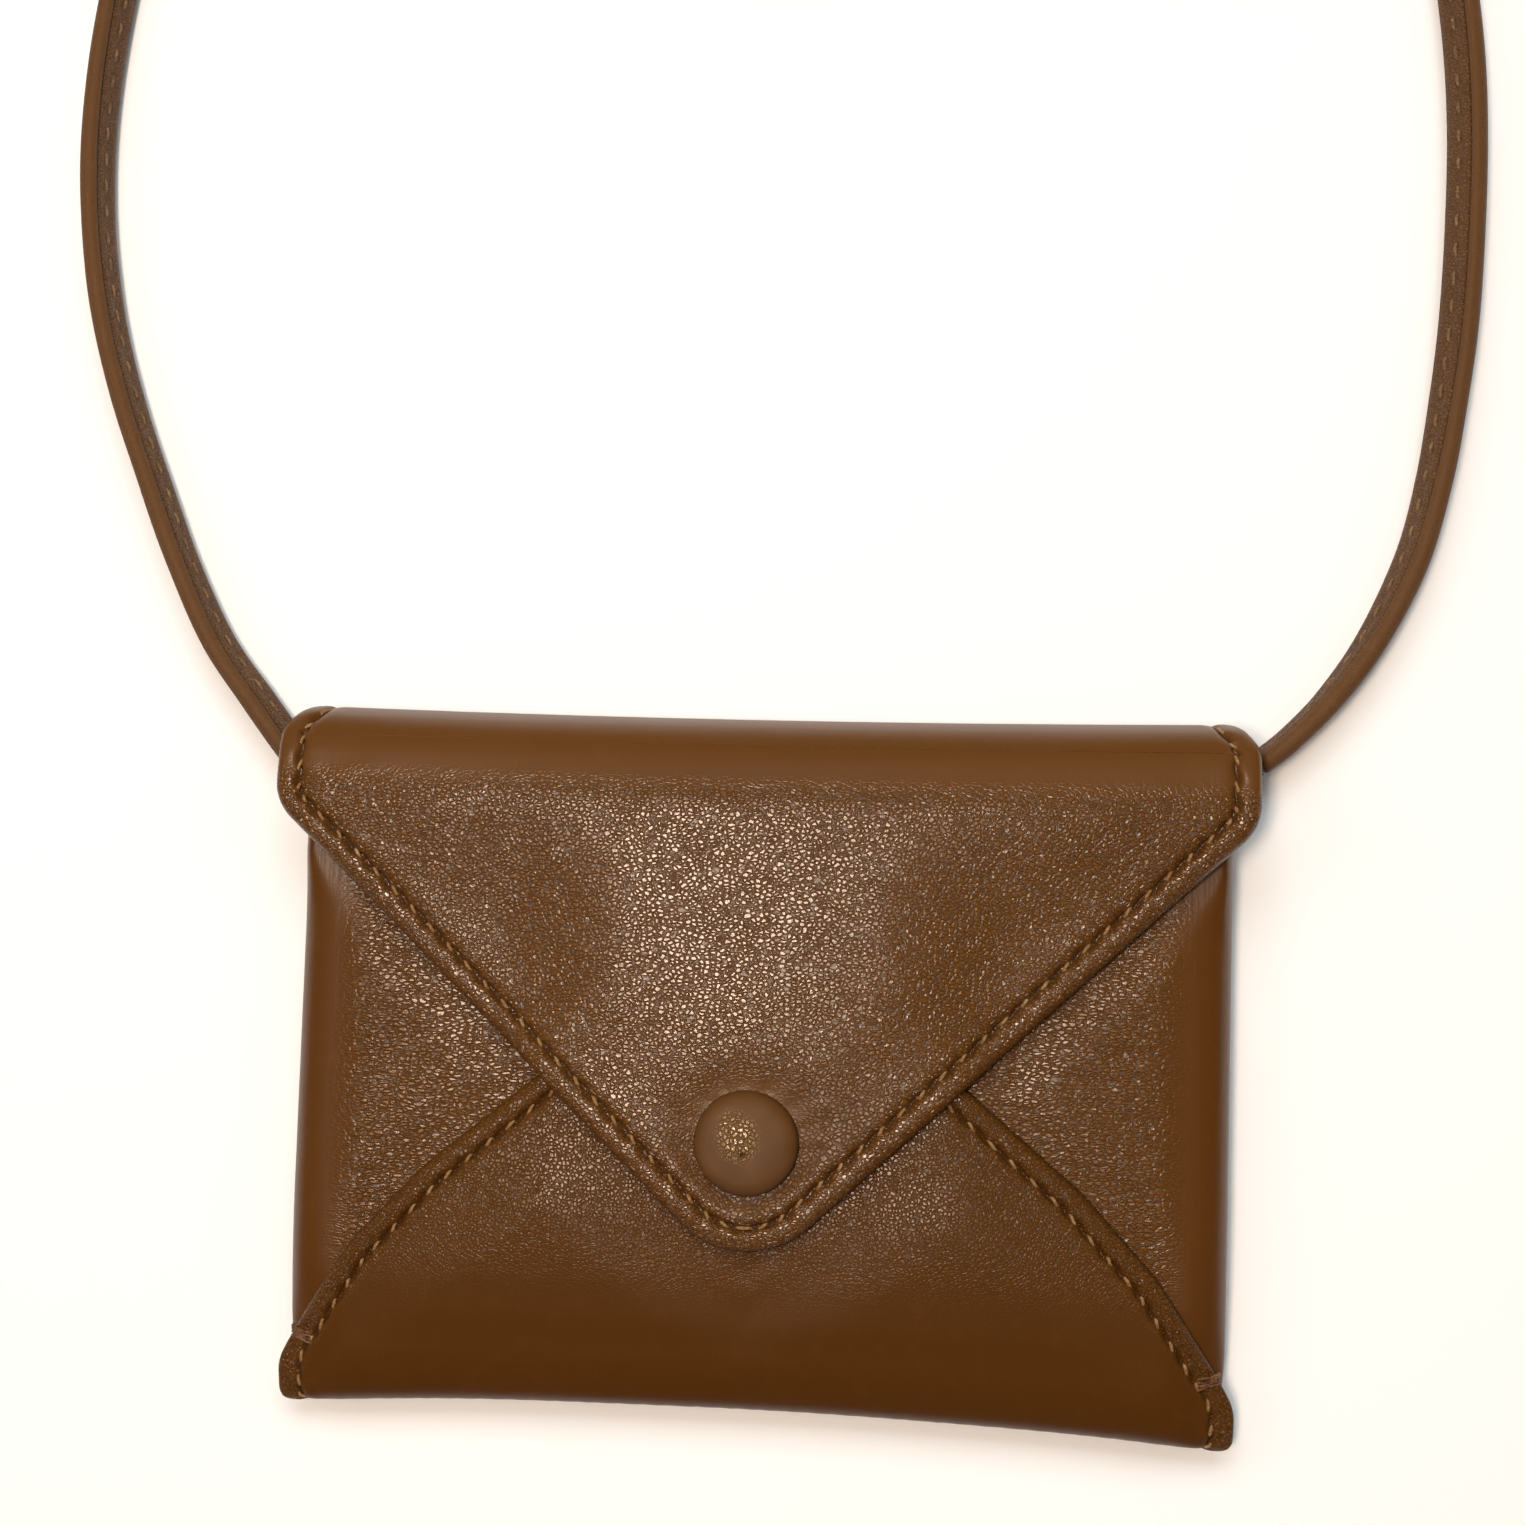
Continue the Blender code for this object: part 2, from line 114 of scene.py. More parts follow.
def soft_line(corners, spacing):
    """An open line through (x, y, radius) corners with each corner rounded, as evenly spaced points."""
    points = [Vector(corners[0][:2])]
    for before, (x, y, radius), after in zip(corners, corners[1:], corners[2:]):
        here = Vector((x, y))
        to_before = Vector(before[:2]) - here
        to_after = Vector(after[:2]) - here
        half = to_before.angle(to_after) / 2
        reach = min(radius / math.tan(half), 0.48 * to_before.length, 0.48 * to_after.length)
        bend = reach * math.tan(half)
        centre = here + (to_before.normalized() + to_after.normalized()).normalized() * bend / math.sin(half)
        start = here + to_before.normalized() * reach - centre
        turn = start.angle_signed(here + to_after.normalized() * reach - centre)
        for step in range(25):
            angle = -turn * step / 24
            points.append(centre + Vector((
                start.x * math.cos(angle) - start.y * math.sin(angle),
                start.x * math.sin(angle) + start.y * math.cos(angle),
            )))
    points.append(Vector(corners[-1][:2]))
    places = np.array([tuple(point) for point in points])
    lengths = line_lengths(places)
    count = 2 * max(1, round(lengths[-1] / spacing / 2))
    return at_lengths(places, lengths, np.linspace(0.0, lengths[-1], count + 1))


def sideways(line, side):
    """Unit vectors across a line: side 1 is to the left of travel, -1 to the right."""
    along = np.gradient(line, axis=0)
    along /= np.linalg.norm(along, axis=1)[:, None]
    return side * np.stack([-along[:, 1], along[:, 0]], axis=1)


# %% [markdown]
# Every panel becomes a closed shell: an outer face, an inner face and the cut edge between them.
# Rows that shrink to a point, as at the flap's tip, are welded, so the mesh has no stray faces.
# A panel's points can carry numbers for its finish: how far the hide is stretched over a fold, where its
# colour is also painted darker as painted shade; how deep the point lies in a seam, painted darker there
# as painted shade; and how dull handling has left it.

# %% Build shells and bundles of tubes


def add_piece(name, points, faces, material, marks=None):
    """A smooth mesh piece from points in mm, welded and with its normals outward."""
    mesh = bpy.data.meshes.new(name)
    mesh.from_pydata((np.asarray(points) * MM).tolist(), [], faces)
    for mark, values in (marks or {}).items():
        layer = mesh.attributes.new(mark, "FLOAT", "POINT")
        layer.data.foreach_set("value", np.asarray(values, np.float32).ravel())
    shape = bmesh.new()
    shape.from_mesh(mesh)
    bmesh.ops.remove_doubles(shape, verts=shape.verts, dist=0.004 * MM)
    bmesh.ops.dissolve_degenerate(shape, dist=0.002 * MM, edges=shape.edges)
    bmesh.ops.recalc_face_normals(shape, faces=shape.faces)
    for face in shape.faces:
        face.smooth = True
    shape.to_mesh(mesh)
    shape.free()
    piece = bpy.data.objects.new(name, mesh)
    bpy.context.scene.collection.objects.link(piece)
    mesh.materials.append(material)
    print(f"{name}: {len(mesh.polygons)} faces")
    return piece


def grid_faces(rows, columns, first, flip):
    faces = []
    for row in range(rows - 1):
        for column in range(columns - 1):
            start = first + row * columns + column
            face = [start, start + 1, start + columns + 1, start + columns]
            faces.append(face[::-1] if flip else face)
    return faces


def border(rows, columns):
    """The grid's outermost points, in order round it."""
    top = list(range(columns))
    right = [row * columns + columns - 1 for row in range(1, rows)]
    bottom = [(rows - 1) * columns + column for column in range(columns - 2, -1, -1)]
    left = [row * columns for row in range(rows - 2, 0, -1)]
    return top + right + bottom + left


def ring_faces(rings, sides, first=0):
    """The faces between rings of points, each ring closed on itself."""
    faces = []
    for ring in range(rings - 1):
        for side in range(sides):
            here = first + ring * sides + side
            following = first + ring * sides + (side + 1) % sides
            faces.append([here, following, following + sides, here + sides])
    return faces


def leather_shell(name, outer, inner, material, marks=None, rows=slice(None), folded_tip=False):
    """A closed shell between some rows of two grids of points, outer and inner.

    With a folded tip, the first row's two halves lie on each other and are welded, so it needs no edge.
    """
    row_count, columns = outer[rows].shape[:2]
    count = row_count * columns
    points = np.concatenate([outer[rows].reshape(-1, 3), inner[rows].reshape(-1, 3)])
    faces = grid_faces(row_count, columns, 0, False) + grid_faces(row_count, columns, count, True)
    ring = border(row_count, columns)
    for here, following in zip(ring, ring[1:] + ring[:1]):
        if not (folded_tip and here < columns and following < columns):
            faces.append([here, following, following + count, here + count])
    doubled = {mark: np.tile(values[rows].ravel(), 2) for mark, values in (marks or {}).items()}
    return add_piece(name, points, faces, material, doubled)


def tube_bundle(name, tubes, material, sides=8):
    """Many short tubes in one piece. Each tube is a list of (point, radius)."""
    points = []
    faces = []
    for tube in tubes:
        places = np.array([place for place, radius in tube])
        along = np.gradient(places, axis=0)
        along /= np.linalg.norm(along, axis=1)[:, None]
        first = len(points)
        for (place, radius), heading in zip(tube, along):
            across = np.cross(heading, (0.0, 0.0, 1.0))
            if np.linalg.norm(across) < 0.05:
                across = np.cross(heading, (0.0, 1.0, 0.0))
            across /= np.linalg.norm(across)
            lift = np.cross(across, heading)
            for side in range(sides):
                angle = 2 * math.pi * side / sides
                points.append(place + radius * (math.cos(angle) * across + math.sin(angle) * lift))
        faces += ring_faces(len(tube), sides, first)
        faces.append([first + side for side in range(sides)])
        last = first + (len(tube) - 1) * sides
        faces.append([last + side for side in range(sides - 1, -1, -1)])
    return add_piece(name, points, faces, material)


def dress(piece, slot_name, carrier, *node_names):
    """Hang a piece on its carrier and hide the plain solids it stands for. What it is made of, slot_name, is
    not used.

    The carrier is one body, or the two bodies that the piece bends between with where it bends. With two
    bodies the piece only keeps its place, and nothing sets up the bend.
    """
    if isinstance(carrier, dict):
        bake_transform(piece)
    else:
        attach(piece, carrier)
    if node_names:
        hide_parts(*node_names)


# %% [markdown]
# Finishes. Smooth calf leather is not one colour: it is darker in the valleys between the pebbles, and
# handling burnishes the raised places. The seams' grooves and awl holes are painted darker, as painted
# shade. Each of these effects is a node group with named sockets, built once, so that the flap, the wings
# and the strap can all use it with their own numbers. An image texture would be quicker, but it could not
# follow the folds.

# %% Node helpers


def feed(tree, socket, source):
    """Give a socket a number, a vector, a colour or another node's output."""
    if isinstance(source, bpy.types.NodeSocket):
        tree.links.new(source, socket)
    elif isinstance(source, tuple) and socket.type == "RGBA":
        socket.default_value = (*source, 1.0)
    else:
        socket.default_value = source


def add_node(tree, kind, settings=None, values=None):
    node = tree.nodes.new(kind)
    for setting, value in (settings or {}).items():
        setattr(node, setting, value)
    for socket, value in (values or {}).items():
        feed(tree, node.inputs[socket], value)
    return node


def object_place(tree):
    return add_node(tree, "ShaderNodeTexCoord").outputs["Object"]


def mark_value(tree, mark):
    """A number that add_piece kept on the mesh's points."""
    return add_node(tree, "ShaderNodeAttribute", {"attribute_name": mark}).outputs["Fac"]


def noise(tree, place, **values):
    return add_node(tree, "ShaderNodeTexNoise", None, {"Vector": place, **values}).outputs


def vector_node(tree, operation, first, second):
    return add_node(tree, "ShaderNodeVectorMath", {"operation": operation}, {0: first, 1: second}).outputs[0]


def math_node(tree, operation, first, second, clamp=False):
    settings = {"operation": operation, "use_clamp": clamp}
    return add_node(tree, "ShaderNodeMath", settings, {0: first, 1: second}).outputs[0]


def times(tree, first, second, clamp=False):
    return math_node(tree, "MULTIPLY", first, second, clamp)


def plus(tree, *parts):
    total = parts[0]
    for part in parts[1:]:
        total = math_node(tree, "ADD", total, part)
    return total


def one_minus(tree, value, clamp=False):
    return math_node(tree, "SUBTRACT", 1.0, value, clamp)


def remap(tree, source, low, high, to_low=0.0, to_high=1.0):
    """Smoothly turn low..high into to_low..to_high."""
    values = {"Value": source, "From Min": low, "From Max": high, "To Min": to_low, "To Max": to_high}
    return add_node(tree, "ShaderNodeMapRange", {"interpolation_type": "SMOOTHSTEP"}, values).outputs[0]


def mix_colour(tree, share, first, second):
    node = add_node(tree, "ShaderNodeMix", {"data_type": "RGBA"})
    for index, source in ((0, share), (6, first), (7, second)):
        feed(tree, node.inputs[index], source)
    return node.outputs[2]


def new_effect(name, inputs, outputs):
    """An empty node group with named number or vector sockets: the group, what goes in and what comes out."""
    group = bpy.data.node_groups.new(name, "ShaderNodeTree")
    for socket, (kind, value) in inputs.items():
        group.interface.new_socket(socket, in_out="INPUT", socket_type=kind).default_value = value
    for socket in outputs:
        group.interface.new_socket(socket, in_out="OUTPUT", socket_type=NUMBER)
    return group, group.nodes.new("NodeGroupInput").outputs, group.nodes.new("NodeGroupOutput").inputs


def use_effect(tree, group, **values):
    """Put a node group in a material. Names with _ stand for sockets with spaces."""
    sockets = {name.replace("_", " ").capitalize(): value for name, value in values.items()}
    return add_node(tree, "ShaderNodeGroup", {"node_tree": group}, sockets).outputs


NUMBER = "NodeSocketFloat"
VECTOR = "NodeSocketVector"

# %% [markdown]
# Pebble grain: irregular little cushions about 0.4 mm across with narrow valleys between them.
# A cell pattern gives the cushions, and pushing its coordinates about with noise makes them irregular.
# "Draw" makes the cells longer one way, as on the wings, where the hide has been worked into creases.
# Where the hide is stretched over a fold the pebbles pull flat, so "Stretch" fades them out.

# %% Pebble grain
JITTER_REACH = 0.00045
pebble_grain, grain_in, grain_out = new_effect(
    "pebble_grain",
    {"Cells per metre": (NUMBER, 2400.0), "Draw": (VECTOR, (1.0, 1.0, 1.0)), "Stretch": (NUMBER, 0.0)},
    ("Height", "Valleys"),
)
drawn = vector_node(pebble_grain, "MULTIPLY", object_place(pebble_grain), grain_in["Draw"])
jitter = noise(pebble_grain, drawn, Scale=900.0, Detail=2.0)["Color"]
pushed = vector_node(pebble_grain, "MULTIPLY", jitter, (JITTER_REACH, JITTER_REACH, JITTER_REACH))
moved = vector_node(pebble_grain, "ADD", drawn, pushed)
edge_distance = add_node(pebble_grain, "ShaderNodeTexVoronoi", {"feature": "DISTANCE_TO_EDGE"}, {
    "Vector": moved, "Scale": grain_in["Cells per metre"]}).outputs["Distance"]
fine_distance = add_node(pebble_grain, "ShaderNodeTexVoronoi", {"feature": "F1"}, {
    "Vector": moved, "Scale": times(pebble_grain, grain_in["Cells per metre"], 2.1)}).outputs["Distance"]
from_top = remap(pebble_grain, edge_distance, 0.0, 0.32, 1.0, 0.0)
cushion = one_minus(pebble_grain, times(pebble_grain, from_top, from_top))
crinkled = plus(pebble_grain, cushion, times(pebble_grain, fine_distance, -0.16))
patches = noise(pebble_grain, drawn, Scale=260.0, Detail=1.0)["Fac"]
uneven = times(pebble_grain, crinkled, remap(pebble_grain, patches, 0.3, 0.7, 0.8, 1.0))
relaxed = one_minus(pebble_grain, grain_in["Stretch"], clamp=True)
feed(pebble_grain, grain_out["Height"], times(pebble_grain, uneven, relaxed))
valley = remap(pebble_grain, edge_distance, 0.02, 0.20, 1.0, 0.0)
feed(pebble_grain, grain_out["Valleys"], times(pebble_grain, valley, relaxed))
print("pebble grain nodes:", len(pebble_grain.nodes))

# %% [markdown]
# Pull lines: where leather is bent or drawn over an edge it shows fine parallel lines and soft creases.
# Noise whose coordinates are far finer one way than the other gives both, at no cost in geometry.

# %% Pull lines
pull_lines, pull_in, pull_out = new_effect(
    "pull_lines", {"Lines": (VECTOR, (2200.0, 160.0, 160.0)), "Amount": (NUMBER, 1.0)}, ("Height",))
stretched_place = vector_node(pull_lines, "MULTIPLY", object_place(pull_lines), pull_in["Lines"])
ridge = noise(pull_lines, stretched_place, Scale=1.0, Detail=3.0, Distortion=0.4)["Fac"]
feed(pull_lines, pull_out["Height"], times(pull_lines, remap(pull_lines, ridge, 0.3, 0.7), pull_in["Amount"]))
print("pull line nodes:", len(pull_lines.nodes))

# %% [markdown]
# Patina: slow changes of tone a few centimetres across, and small rubbed spots. Hand-dyed leather has
# both, and without them a panel looks like plastic however good its grain is.

# %% Patina
patina, patina_in, patina_out = new_effect(
    "patina",
    {"Clouds per metre": (NUMBER, 45.0), "Spots per metre": (NUMBER, 420.0)},
    ("Tone", "Rubbed"),
)
patina_place = object_place(patina)
cloud = noise(patina, patina_place, Scale=patina_in["Clouds per metre"], Detail=4.0, Roughness=0.55)["Fac"]
spots = noise(patina, patina_place, Scale=patina_in["Spots per metre"], Detail=3.0, Roughness=0.6)["Fac"]
feed(patina, patina_out["Tone"], remap(patina, cloud, 0.3, 0.7))
feed(patina, patina_out["Rubbed"], remap(patina, spots, 0.52, 0.72))
print("patina nodes:", len(patina.nodes))

# %% [markdown]
# The leather itself. One recipe serves all the panels: the colour goes from the dyed surface to a darker
# colour in the valleys, with painted shade in the seams and on stretched folds; the finish gets rougher in
# the valleys, and one bump carries grain and creases.
# The shader stays here in the material, and only its masks and heights come from the groups.

# %% Leather recipe


def blank_material(name, colour, roughness, metallic=0.0):
    material = bpy.data.materials.new(name)
    material.use_nodes = True
    shader = material.node_tree.nodes["Principled BSDF"].inputs
    shader["Base Color"].default_value = (*colour, 1.0)
    shader["Roughness"].default_value = roughness
    shader["Metallic"].default_value = metallic
    return material, material.node_tree, shader


def add_bump(tree, shader, height, distance):
    bump = add_node(tree, "ShaderNodeBump", None, {"Strength": 1.0, "Distance": distance, "Height": height})
    feed(tree, shader["Normal"], bump.outputs["Normal"])


def tinted(colour, *shares):
    return tuple(part * share for part, share in zip(colour, shares))


def leather(name, dye, deep, cells=1900.0, draw=(0.85, 1.15, 1.0), lines=(450.0, 1300.0, 450.0),
            creases=0.14, relief=0.00006, gloss=0.23, sheen=0.68, fold_shade=1.0):
    """Creases, relief and sheen say how strong each effect is, and gloss is the least roughness. Fold shade
    is how much darker stretched places are painted, as painted shade.
    """
    material, tree, shader = blank_material(name, dye, gloss)
    shader["Specular IOR Level"].default_value = sheen
    stretch = mark_value(tree, "stretch")
    grain = use_effect(tree, pebble_grain, cells_per_metre=cells, draw=draw, stretch=stretch)
    crease_amount = times(tree, one_minus(tree, stretch, clamp=True), creases)
    crease_lines = use_effect(tree, pull_lines, lines=lines, amount=crease_amount)
    fold_lines = use_effect(tree, pull_lines, lines=(2300.0, 170.0, 170.0), amount=times(tree, stretch, 0.10))
    age = use_effect(tree, patina)

    toned = mix_colour(tree, age["Tone"], dye, tinted(dye, 0.9, 0.9, 0.9))
    # Stretched places (the fold, the side rolls, the lower pocket and the ring above the snap) are painted
    # darker: painted shade.
    toned = mix_colour(tree, times(tree, stretch, fold_shade), toned, tinted(dye, 0.72, 0.64, 0.43))
    dyed = mix_colour(tree, times(tree, grain["Valleys"], 0.68), toned, deep)
    worn = mix_colour(tree, times(tree, age["Rubbed"], 0.08), dyed, tinted(dye, 1.35, 1.35, 1.35))
    # The seam's groove and awl holes are painted darker: painted shade.
    seam_shade_share = times(tree, mark_value(tree, "seam"), 0.8, clamp=True)
    feed(tree, shader["Base Color"], mix_colour(tree, seam_shade_share, worn, deep))

    rough_valley = times(tree, grain["Valleys"], 0.12)
    rough_cloud = times(tree, age["Tone"], 0.02)
    rough_marks = plus(tree, times(tree, stretch, 0.12), times(tree, mark_value(tree, "dull"), 0.16))
    feed(tree, shader["Roughness"], plus(tree, rough_valley, rough_cloud, rough_marks, gloss))
    add_bump(tree, shader, plus(tree, grain["Height"], crease_lines["Height"], fold_lines["Height"]), relief)
    return material


SADDLE = (0.128, 0.048, 0.0074)
SADDLE_DEEP = (0.036, 0.012, 0.0018)
# All the panels are one hide. The pocket's copy is darker and less glossy than the flap's, as painted shade;
# the flap's copy has the strongest sheen, which brightens its highlight.
flap_leather = leather("flap_leather", SADDLE, SADDLE_DEEP, fold_shade=0.4)
shaded_pocket_leather = leather("shaded_pocket_leather", (0.110, 0.041, 0.0060), SADDLE_DEEP, cells=2200.0,
                         draw=(1.0, 1.0, 1.0), creases=0.10, relief=0.000055, sheen=0.28)
wing_leather = leather("wing_leather", SADDLE, SADDLE_DEEP, draw=(0.6, 1.3, 1.0),
                       lines=(230.0, 1300.0, 230.0), creases=0.45, relief=0.00007, sheen=0.48)
back_leather = leather("back_leather", SADDLE, SADDLE_DEEP, sheen=0.5)
strap_leather = leather("strap_leather", (0.152, 0.070, 0.026), (0.048, 0.019, 0.005), cells=2600.0,
                        lines=(700.0, 700.0, 700.0), creases=0.5, relief=0.00008, gloss=0.46, sheen=0.35)
print("leathers made:", [m.name for m in bpy.data.materials if m.name.endswith("leather")])

# %% [markdown]
# The other finishes: waxed thread with its ply, a twill lining, painted metal worn on the cap's crown,
# and plain brass for the snap's inner parts.

# %% Thread, lining, paint and brass


def thread_finish(name, dark, fair, pale):
    material, tree, shader = blank_material(name, fair, 0.5)
    ply = use_effect(tree, pull_lines, lines=(2600.0, 2600.0, 900.0), amount=1.0)["Height"]
    rubbed = use_effect(tree, patina, spots_per_metre=700.0)["Rubbed"]
    dyed = mix_colour(tree, ply, dark, fair)
    feed(tree, shader["Base Color"], mix_colour(tree, times(tree, rubbed, 0.5), dyed, pale))
    add_bump(tree, shader, ply, 0.00006)
    return material


waxed_thread = thread_finish("waxed_thread", (0.17, 0.078, 0.022), (0.32, 0.18, 0.075), (0.42, 0.28, 0.15))
strap_thread = thread_finish("strap_thread", (0.11, 0.055, 0.020), (0.23, 0.135, 0.060), (0.34, 0.23, 0.13))
tack_thread = thread_finish("tack_thread", (0.045, 0.014, 0.003), (0.17, 0.070, 0.024), (0.30, 0.15, 0.07))

twill_lining, tree, shader = blank_material("twill_lining", (0.09, 0.045, 0.02), 0.85)
lining_place = object_place(tree)
waves = [add_node(tree, "ShaderNodeTexWave", {"bands_direction": direction}, {
    "Vector": lining_place, "Scale": 620.0, "Distortion": 0.6, "Detail": 1.0}).outputs["Fac"]
    for direction in ("DIAGONAL", "X")]
twill = times(tree, waves[0], waves[1])
age = use_effect(tree, patina)
dyed = mix_colour(tree, age["Tone"], (0.10, 0.05, 0.022), (0.075, 0.036, 0.015))
feed(tree, shader["Base Color"], mix_colour(tree, twill, (0.05, 0.024, 0.010), dyed))
shader["Sheen Weight"].default_value = 0.15
add_bump(tree, shader, twill, 0.00008)

cap_paint, tree, shader = blank_material("cap_paint", (0.120, 0.047, 0.008), 0.42)
shader["Specular IOR Level"].default_value = 0.6
wear = mark_value(tree, "wear")
age = use_effect(tree, patina, clouds_per_metre=300.0, spots_per_metre=900.0)
chips = use_effect(tree, pebble_grain, cells_per_metre=1900.0)["Height"]
spread = times(tree, age["Rubbed"], wear, clamp=True)
worn_area = remap(tree, plus(tree, spread, wear), 0.10, 0.85)
bared = times(tree, worn_area, remap(tree, chips, 0.15, 0.85, 0.2, 1.0), clamp=True)
toned = mix_colour(tree, age["Tone"], (0.106, 0.040, 0.006), (0.090, 0.033, 0.0048))
rubbed = mix_colour(tree, bared, toned, (0.34, 0.20, 0.095))
# The pit is painted almost black: painted shade in the pit.
feed(tree, shader["Base Color"], mix_colour(tree, mark_value(tree, "dent"), rubbed, (0.020, 0.006, 0.001)))
feed(tree, shader["Roughness"], remap(tree, bared, 0.0, 0.6, 0.64, 0.14))
add_bump(tree, shader, times(tree, worn_area, chips), 0.0002)

snap_brass, tree, shader = blank_material("snap_brass", (0.62, 0.42, 0.17), 0.32, 1.0)
age = use_effect(tree, patina, clouds_per_metre=220.0, spots_per_metre=1500.0)
turning = use_effect(tree, pull_lines, lines=(700.0, 700.0, 5200.0), amount=0.6)["Height"]
feed(tree, shader["Base Color"], mix_colour(tree, age["Tone"], (0.66, 0.45, 0.19), (0.46, 0.29, 0.11)))
feed(tree, shader["Roughness"], remap(tree, age["Rubbed"], 0.0, 1.0, 0.26, 0.48))
add_bump(tree, shader, turning, 0.00002)
print("materials:", len(bpy.data.materials))

# %% [markdown]
# The neck strap is the only free cord. It is a strip folded lengthwise and sewn, 5 mm tall and 2.4 mm
# thick, standing on its edge and leaning outward. It leaves one upper corner, lies in a loose curve, and
# its spare length is wound in a neat coil beyond the picture before it comes back to the other corner.
# Its line is written as points on the table, then as turns of the coil, and joined into one smooth run.

# %% Strap line
STRAP_LEFT = [
    (-57.2, 35.4, 2.5), (-59.0, 37.6, 2.5), (-62.6, 42.2, 2.5), (-68.1, 49.5, 2.5), (-73.1, 59.3, 2.5),
    (-77.2, 69.2, 2.5), (-81.1, 79.3, 2.5), (-84.1, 89.4, 2.5), (-85.9, 99.5, 2.5), (-86.7, 109.8, 2.5),
    (-86.4, 120.1, 2.5), (-85.2, 130.5, 2.5), (-82.8, 145.0, 2.5), (-78.2, 159.5, 2.5), (-69.8, 173.8, 2.5),
    (-57.2, 186.2, 2.7), (-41.8, 196.0, 2.9), (-25.5, 202.6, 3.2),
]
STRAP_RIGHT = [
    (57.6, 37.2, 2.5), (60.7, 39.7, 2.5), (65.5, 44.8, 2.5), (70.3, 51.8, 2.5), (74.7, 61.2, 2.5),
    (77.2, 70.7, 2.5), (78.7, 80.1, 2.5), (79.8, 89.5, 2.5), (80.4, 100.0, 2.5), (80.6, 111.0, 2.5),
    (80.2, 121.0, 2.5), (79.0, 131.5, 2.5), (76.8, 145.5, 2.5), (72.8, 159.5, 2.5), (65.2, 172.8, 3.0),
    (54.0, 184.8, 4.0), (40.4, 195.2, 5.6), (25.5, 202.6, 7.4),
]
COIL_CENTRE = (0.0, 176.0)
COIL_OUTER = 31.35
COIL_INNER = 28.65
COIL_LOW = 3.4
COIL_HIGH = 8.6


def coil_points():
    """The wound strap, seen from above turning clockwise: out, in, up, and back out."""
    points = []
    for angle in range(100, -1001, -15):
        inward = float(ease(-angle, 220, 260) - ease(-angle, 850, 890))
        lifted = float(ease(-angle, 535, 575))
        radius = COIL_OUTER + (COIL_INNER - COIL_OUTER) * inward
        height = COIL_LOW + (COIL_HIGH - COIL_LOW) * lifted
        turn = math.radians(angle)
        points.append((
            COIL_CENTRE[0] + radius * math.cos(turn),
            COIL_CENTRE[1] + radius * math.sin(turn),
            height,
        ))
    return points


def smooth_run(points, spacing):
    """A smooth curve through the points, with new points a fixed spacing apart."""
    places = np.array(points)
    fine = []
    for index in range(len(places) - 1):
        before = places[max(index - 1, 0)]
        start = places[index]
        end = places[index + 1]
        after = places[min(index + 2, len(places) - 1)]
        for share in np.linspace(0.0, 1.0, 16, endpoint=False):
            fine.append(0.5 * (2 * start + (end - before) * share
                               + (2 * before - 5 * start + 4 * end - after) * share ** 2
                               + (3 * start - before - 3 * end + after) * share ** 3))
    fine.append(places[-1])
    fine = np.array(fine)
    lengths = line_lengths(fine)
    return at_lengths(fine, lengths, np.linspace(0.0, lengths[-1], round(lengths[-1] / spacing) + 1))


strap_line = smooth_run(STRAP_LEFT + coil_points() + STRAP_RIGHT[::-1], 1.15)
strap_along = line_lengths(strap_line)
strap_length = strap_along[-1]
print("strap length in mm:", round(strap_length))

# %% [markdown]
# The strap's section has a rounded bead along the fold, a fine groove under it and a flat sewn face.
# It is swept along the line with a lean that changes along the way: a quarter turn would lie it flat,
# and none stands it upright, as it must stand in the coil. The right-hand run leans over further.

# %% Strap mesh
LEFT_END_LEAN = 25.0
RIGHT_END_LEAN = 12.0
STRAP_GROOVE = (-0.84, 1.26)
STRAP_SECTION = [
    (1.18, -1.3), (1.22, -0.2), (1.2, 0.8), (1.17, 1.5), (1.02, 2.0), (0.66, 2.36), (0.1, 2.5), (-0.5, 2.42),
    (-0.95, 2.1), (-1.16, 1.7), (-1.08, 1.42), STRAP_GROOVE, (-1.02, 1.06), (-1.18, 0.7), (-1.16, 0.15),
    (-1.02, -0.35), (-1.16, -0.9), (-1.2, -1.5), (-1.04, -2.05), (-0.6, -2.4), (0.05, -2.5), (0.72, -2.38),
    (1.08, -1.95),
]


def strap_lean(along):
    """Lean in degrees at a distance along the strap. Both runs stand up straight before the coil."""
    back = strap_length - along
    left = LEFT_END_LEAN - 9.0 * ease(along, 5.0, 30.0) + 8.0 * ease(along, 75.0, 120.0)
    right = RIGHT_END_LEAN + 16.0 * ease(back, 6.0, 30.0) + 14.0 * ease(back, 30.0, 60.0)
    left_upright = ease(along, 150.0, 195.0)
    right_upright = ease(back, 140.0, 190.0)
    return np.where(along < strap_length / 2, left * (1.0 - left_upright), right * (1.0 - right_upright))


def strap_frames(line, leans):
    """For each point of a line: the directions across the strap's thickness and up its height."""
    along = np.gradient(line, axis=0)
    along /= np.linalg.norm(along, axis=1)[:, None]
    out = np.stack([-along[:, 1], along[:, 0], np.zeros(len(line))], axis=1)
    out /= np.linalg.norm(out, axis=1)[:, None]
    lean = np.radians(leans)[:, None]
    up = np.array([0.0, 0.0, 1.0])
    return out * np.cos(lean) - up * np.sin(lean), out * np.sin(lean) + up * np.cos(lean)


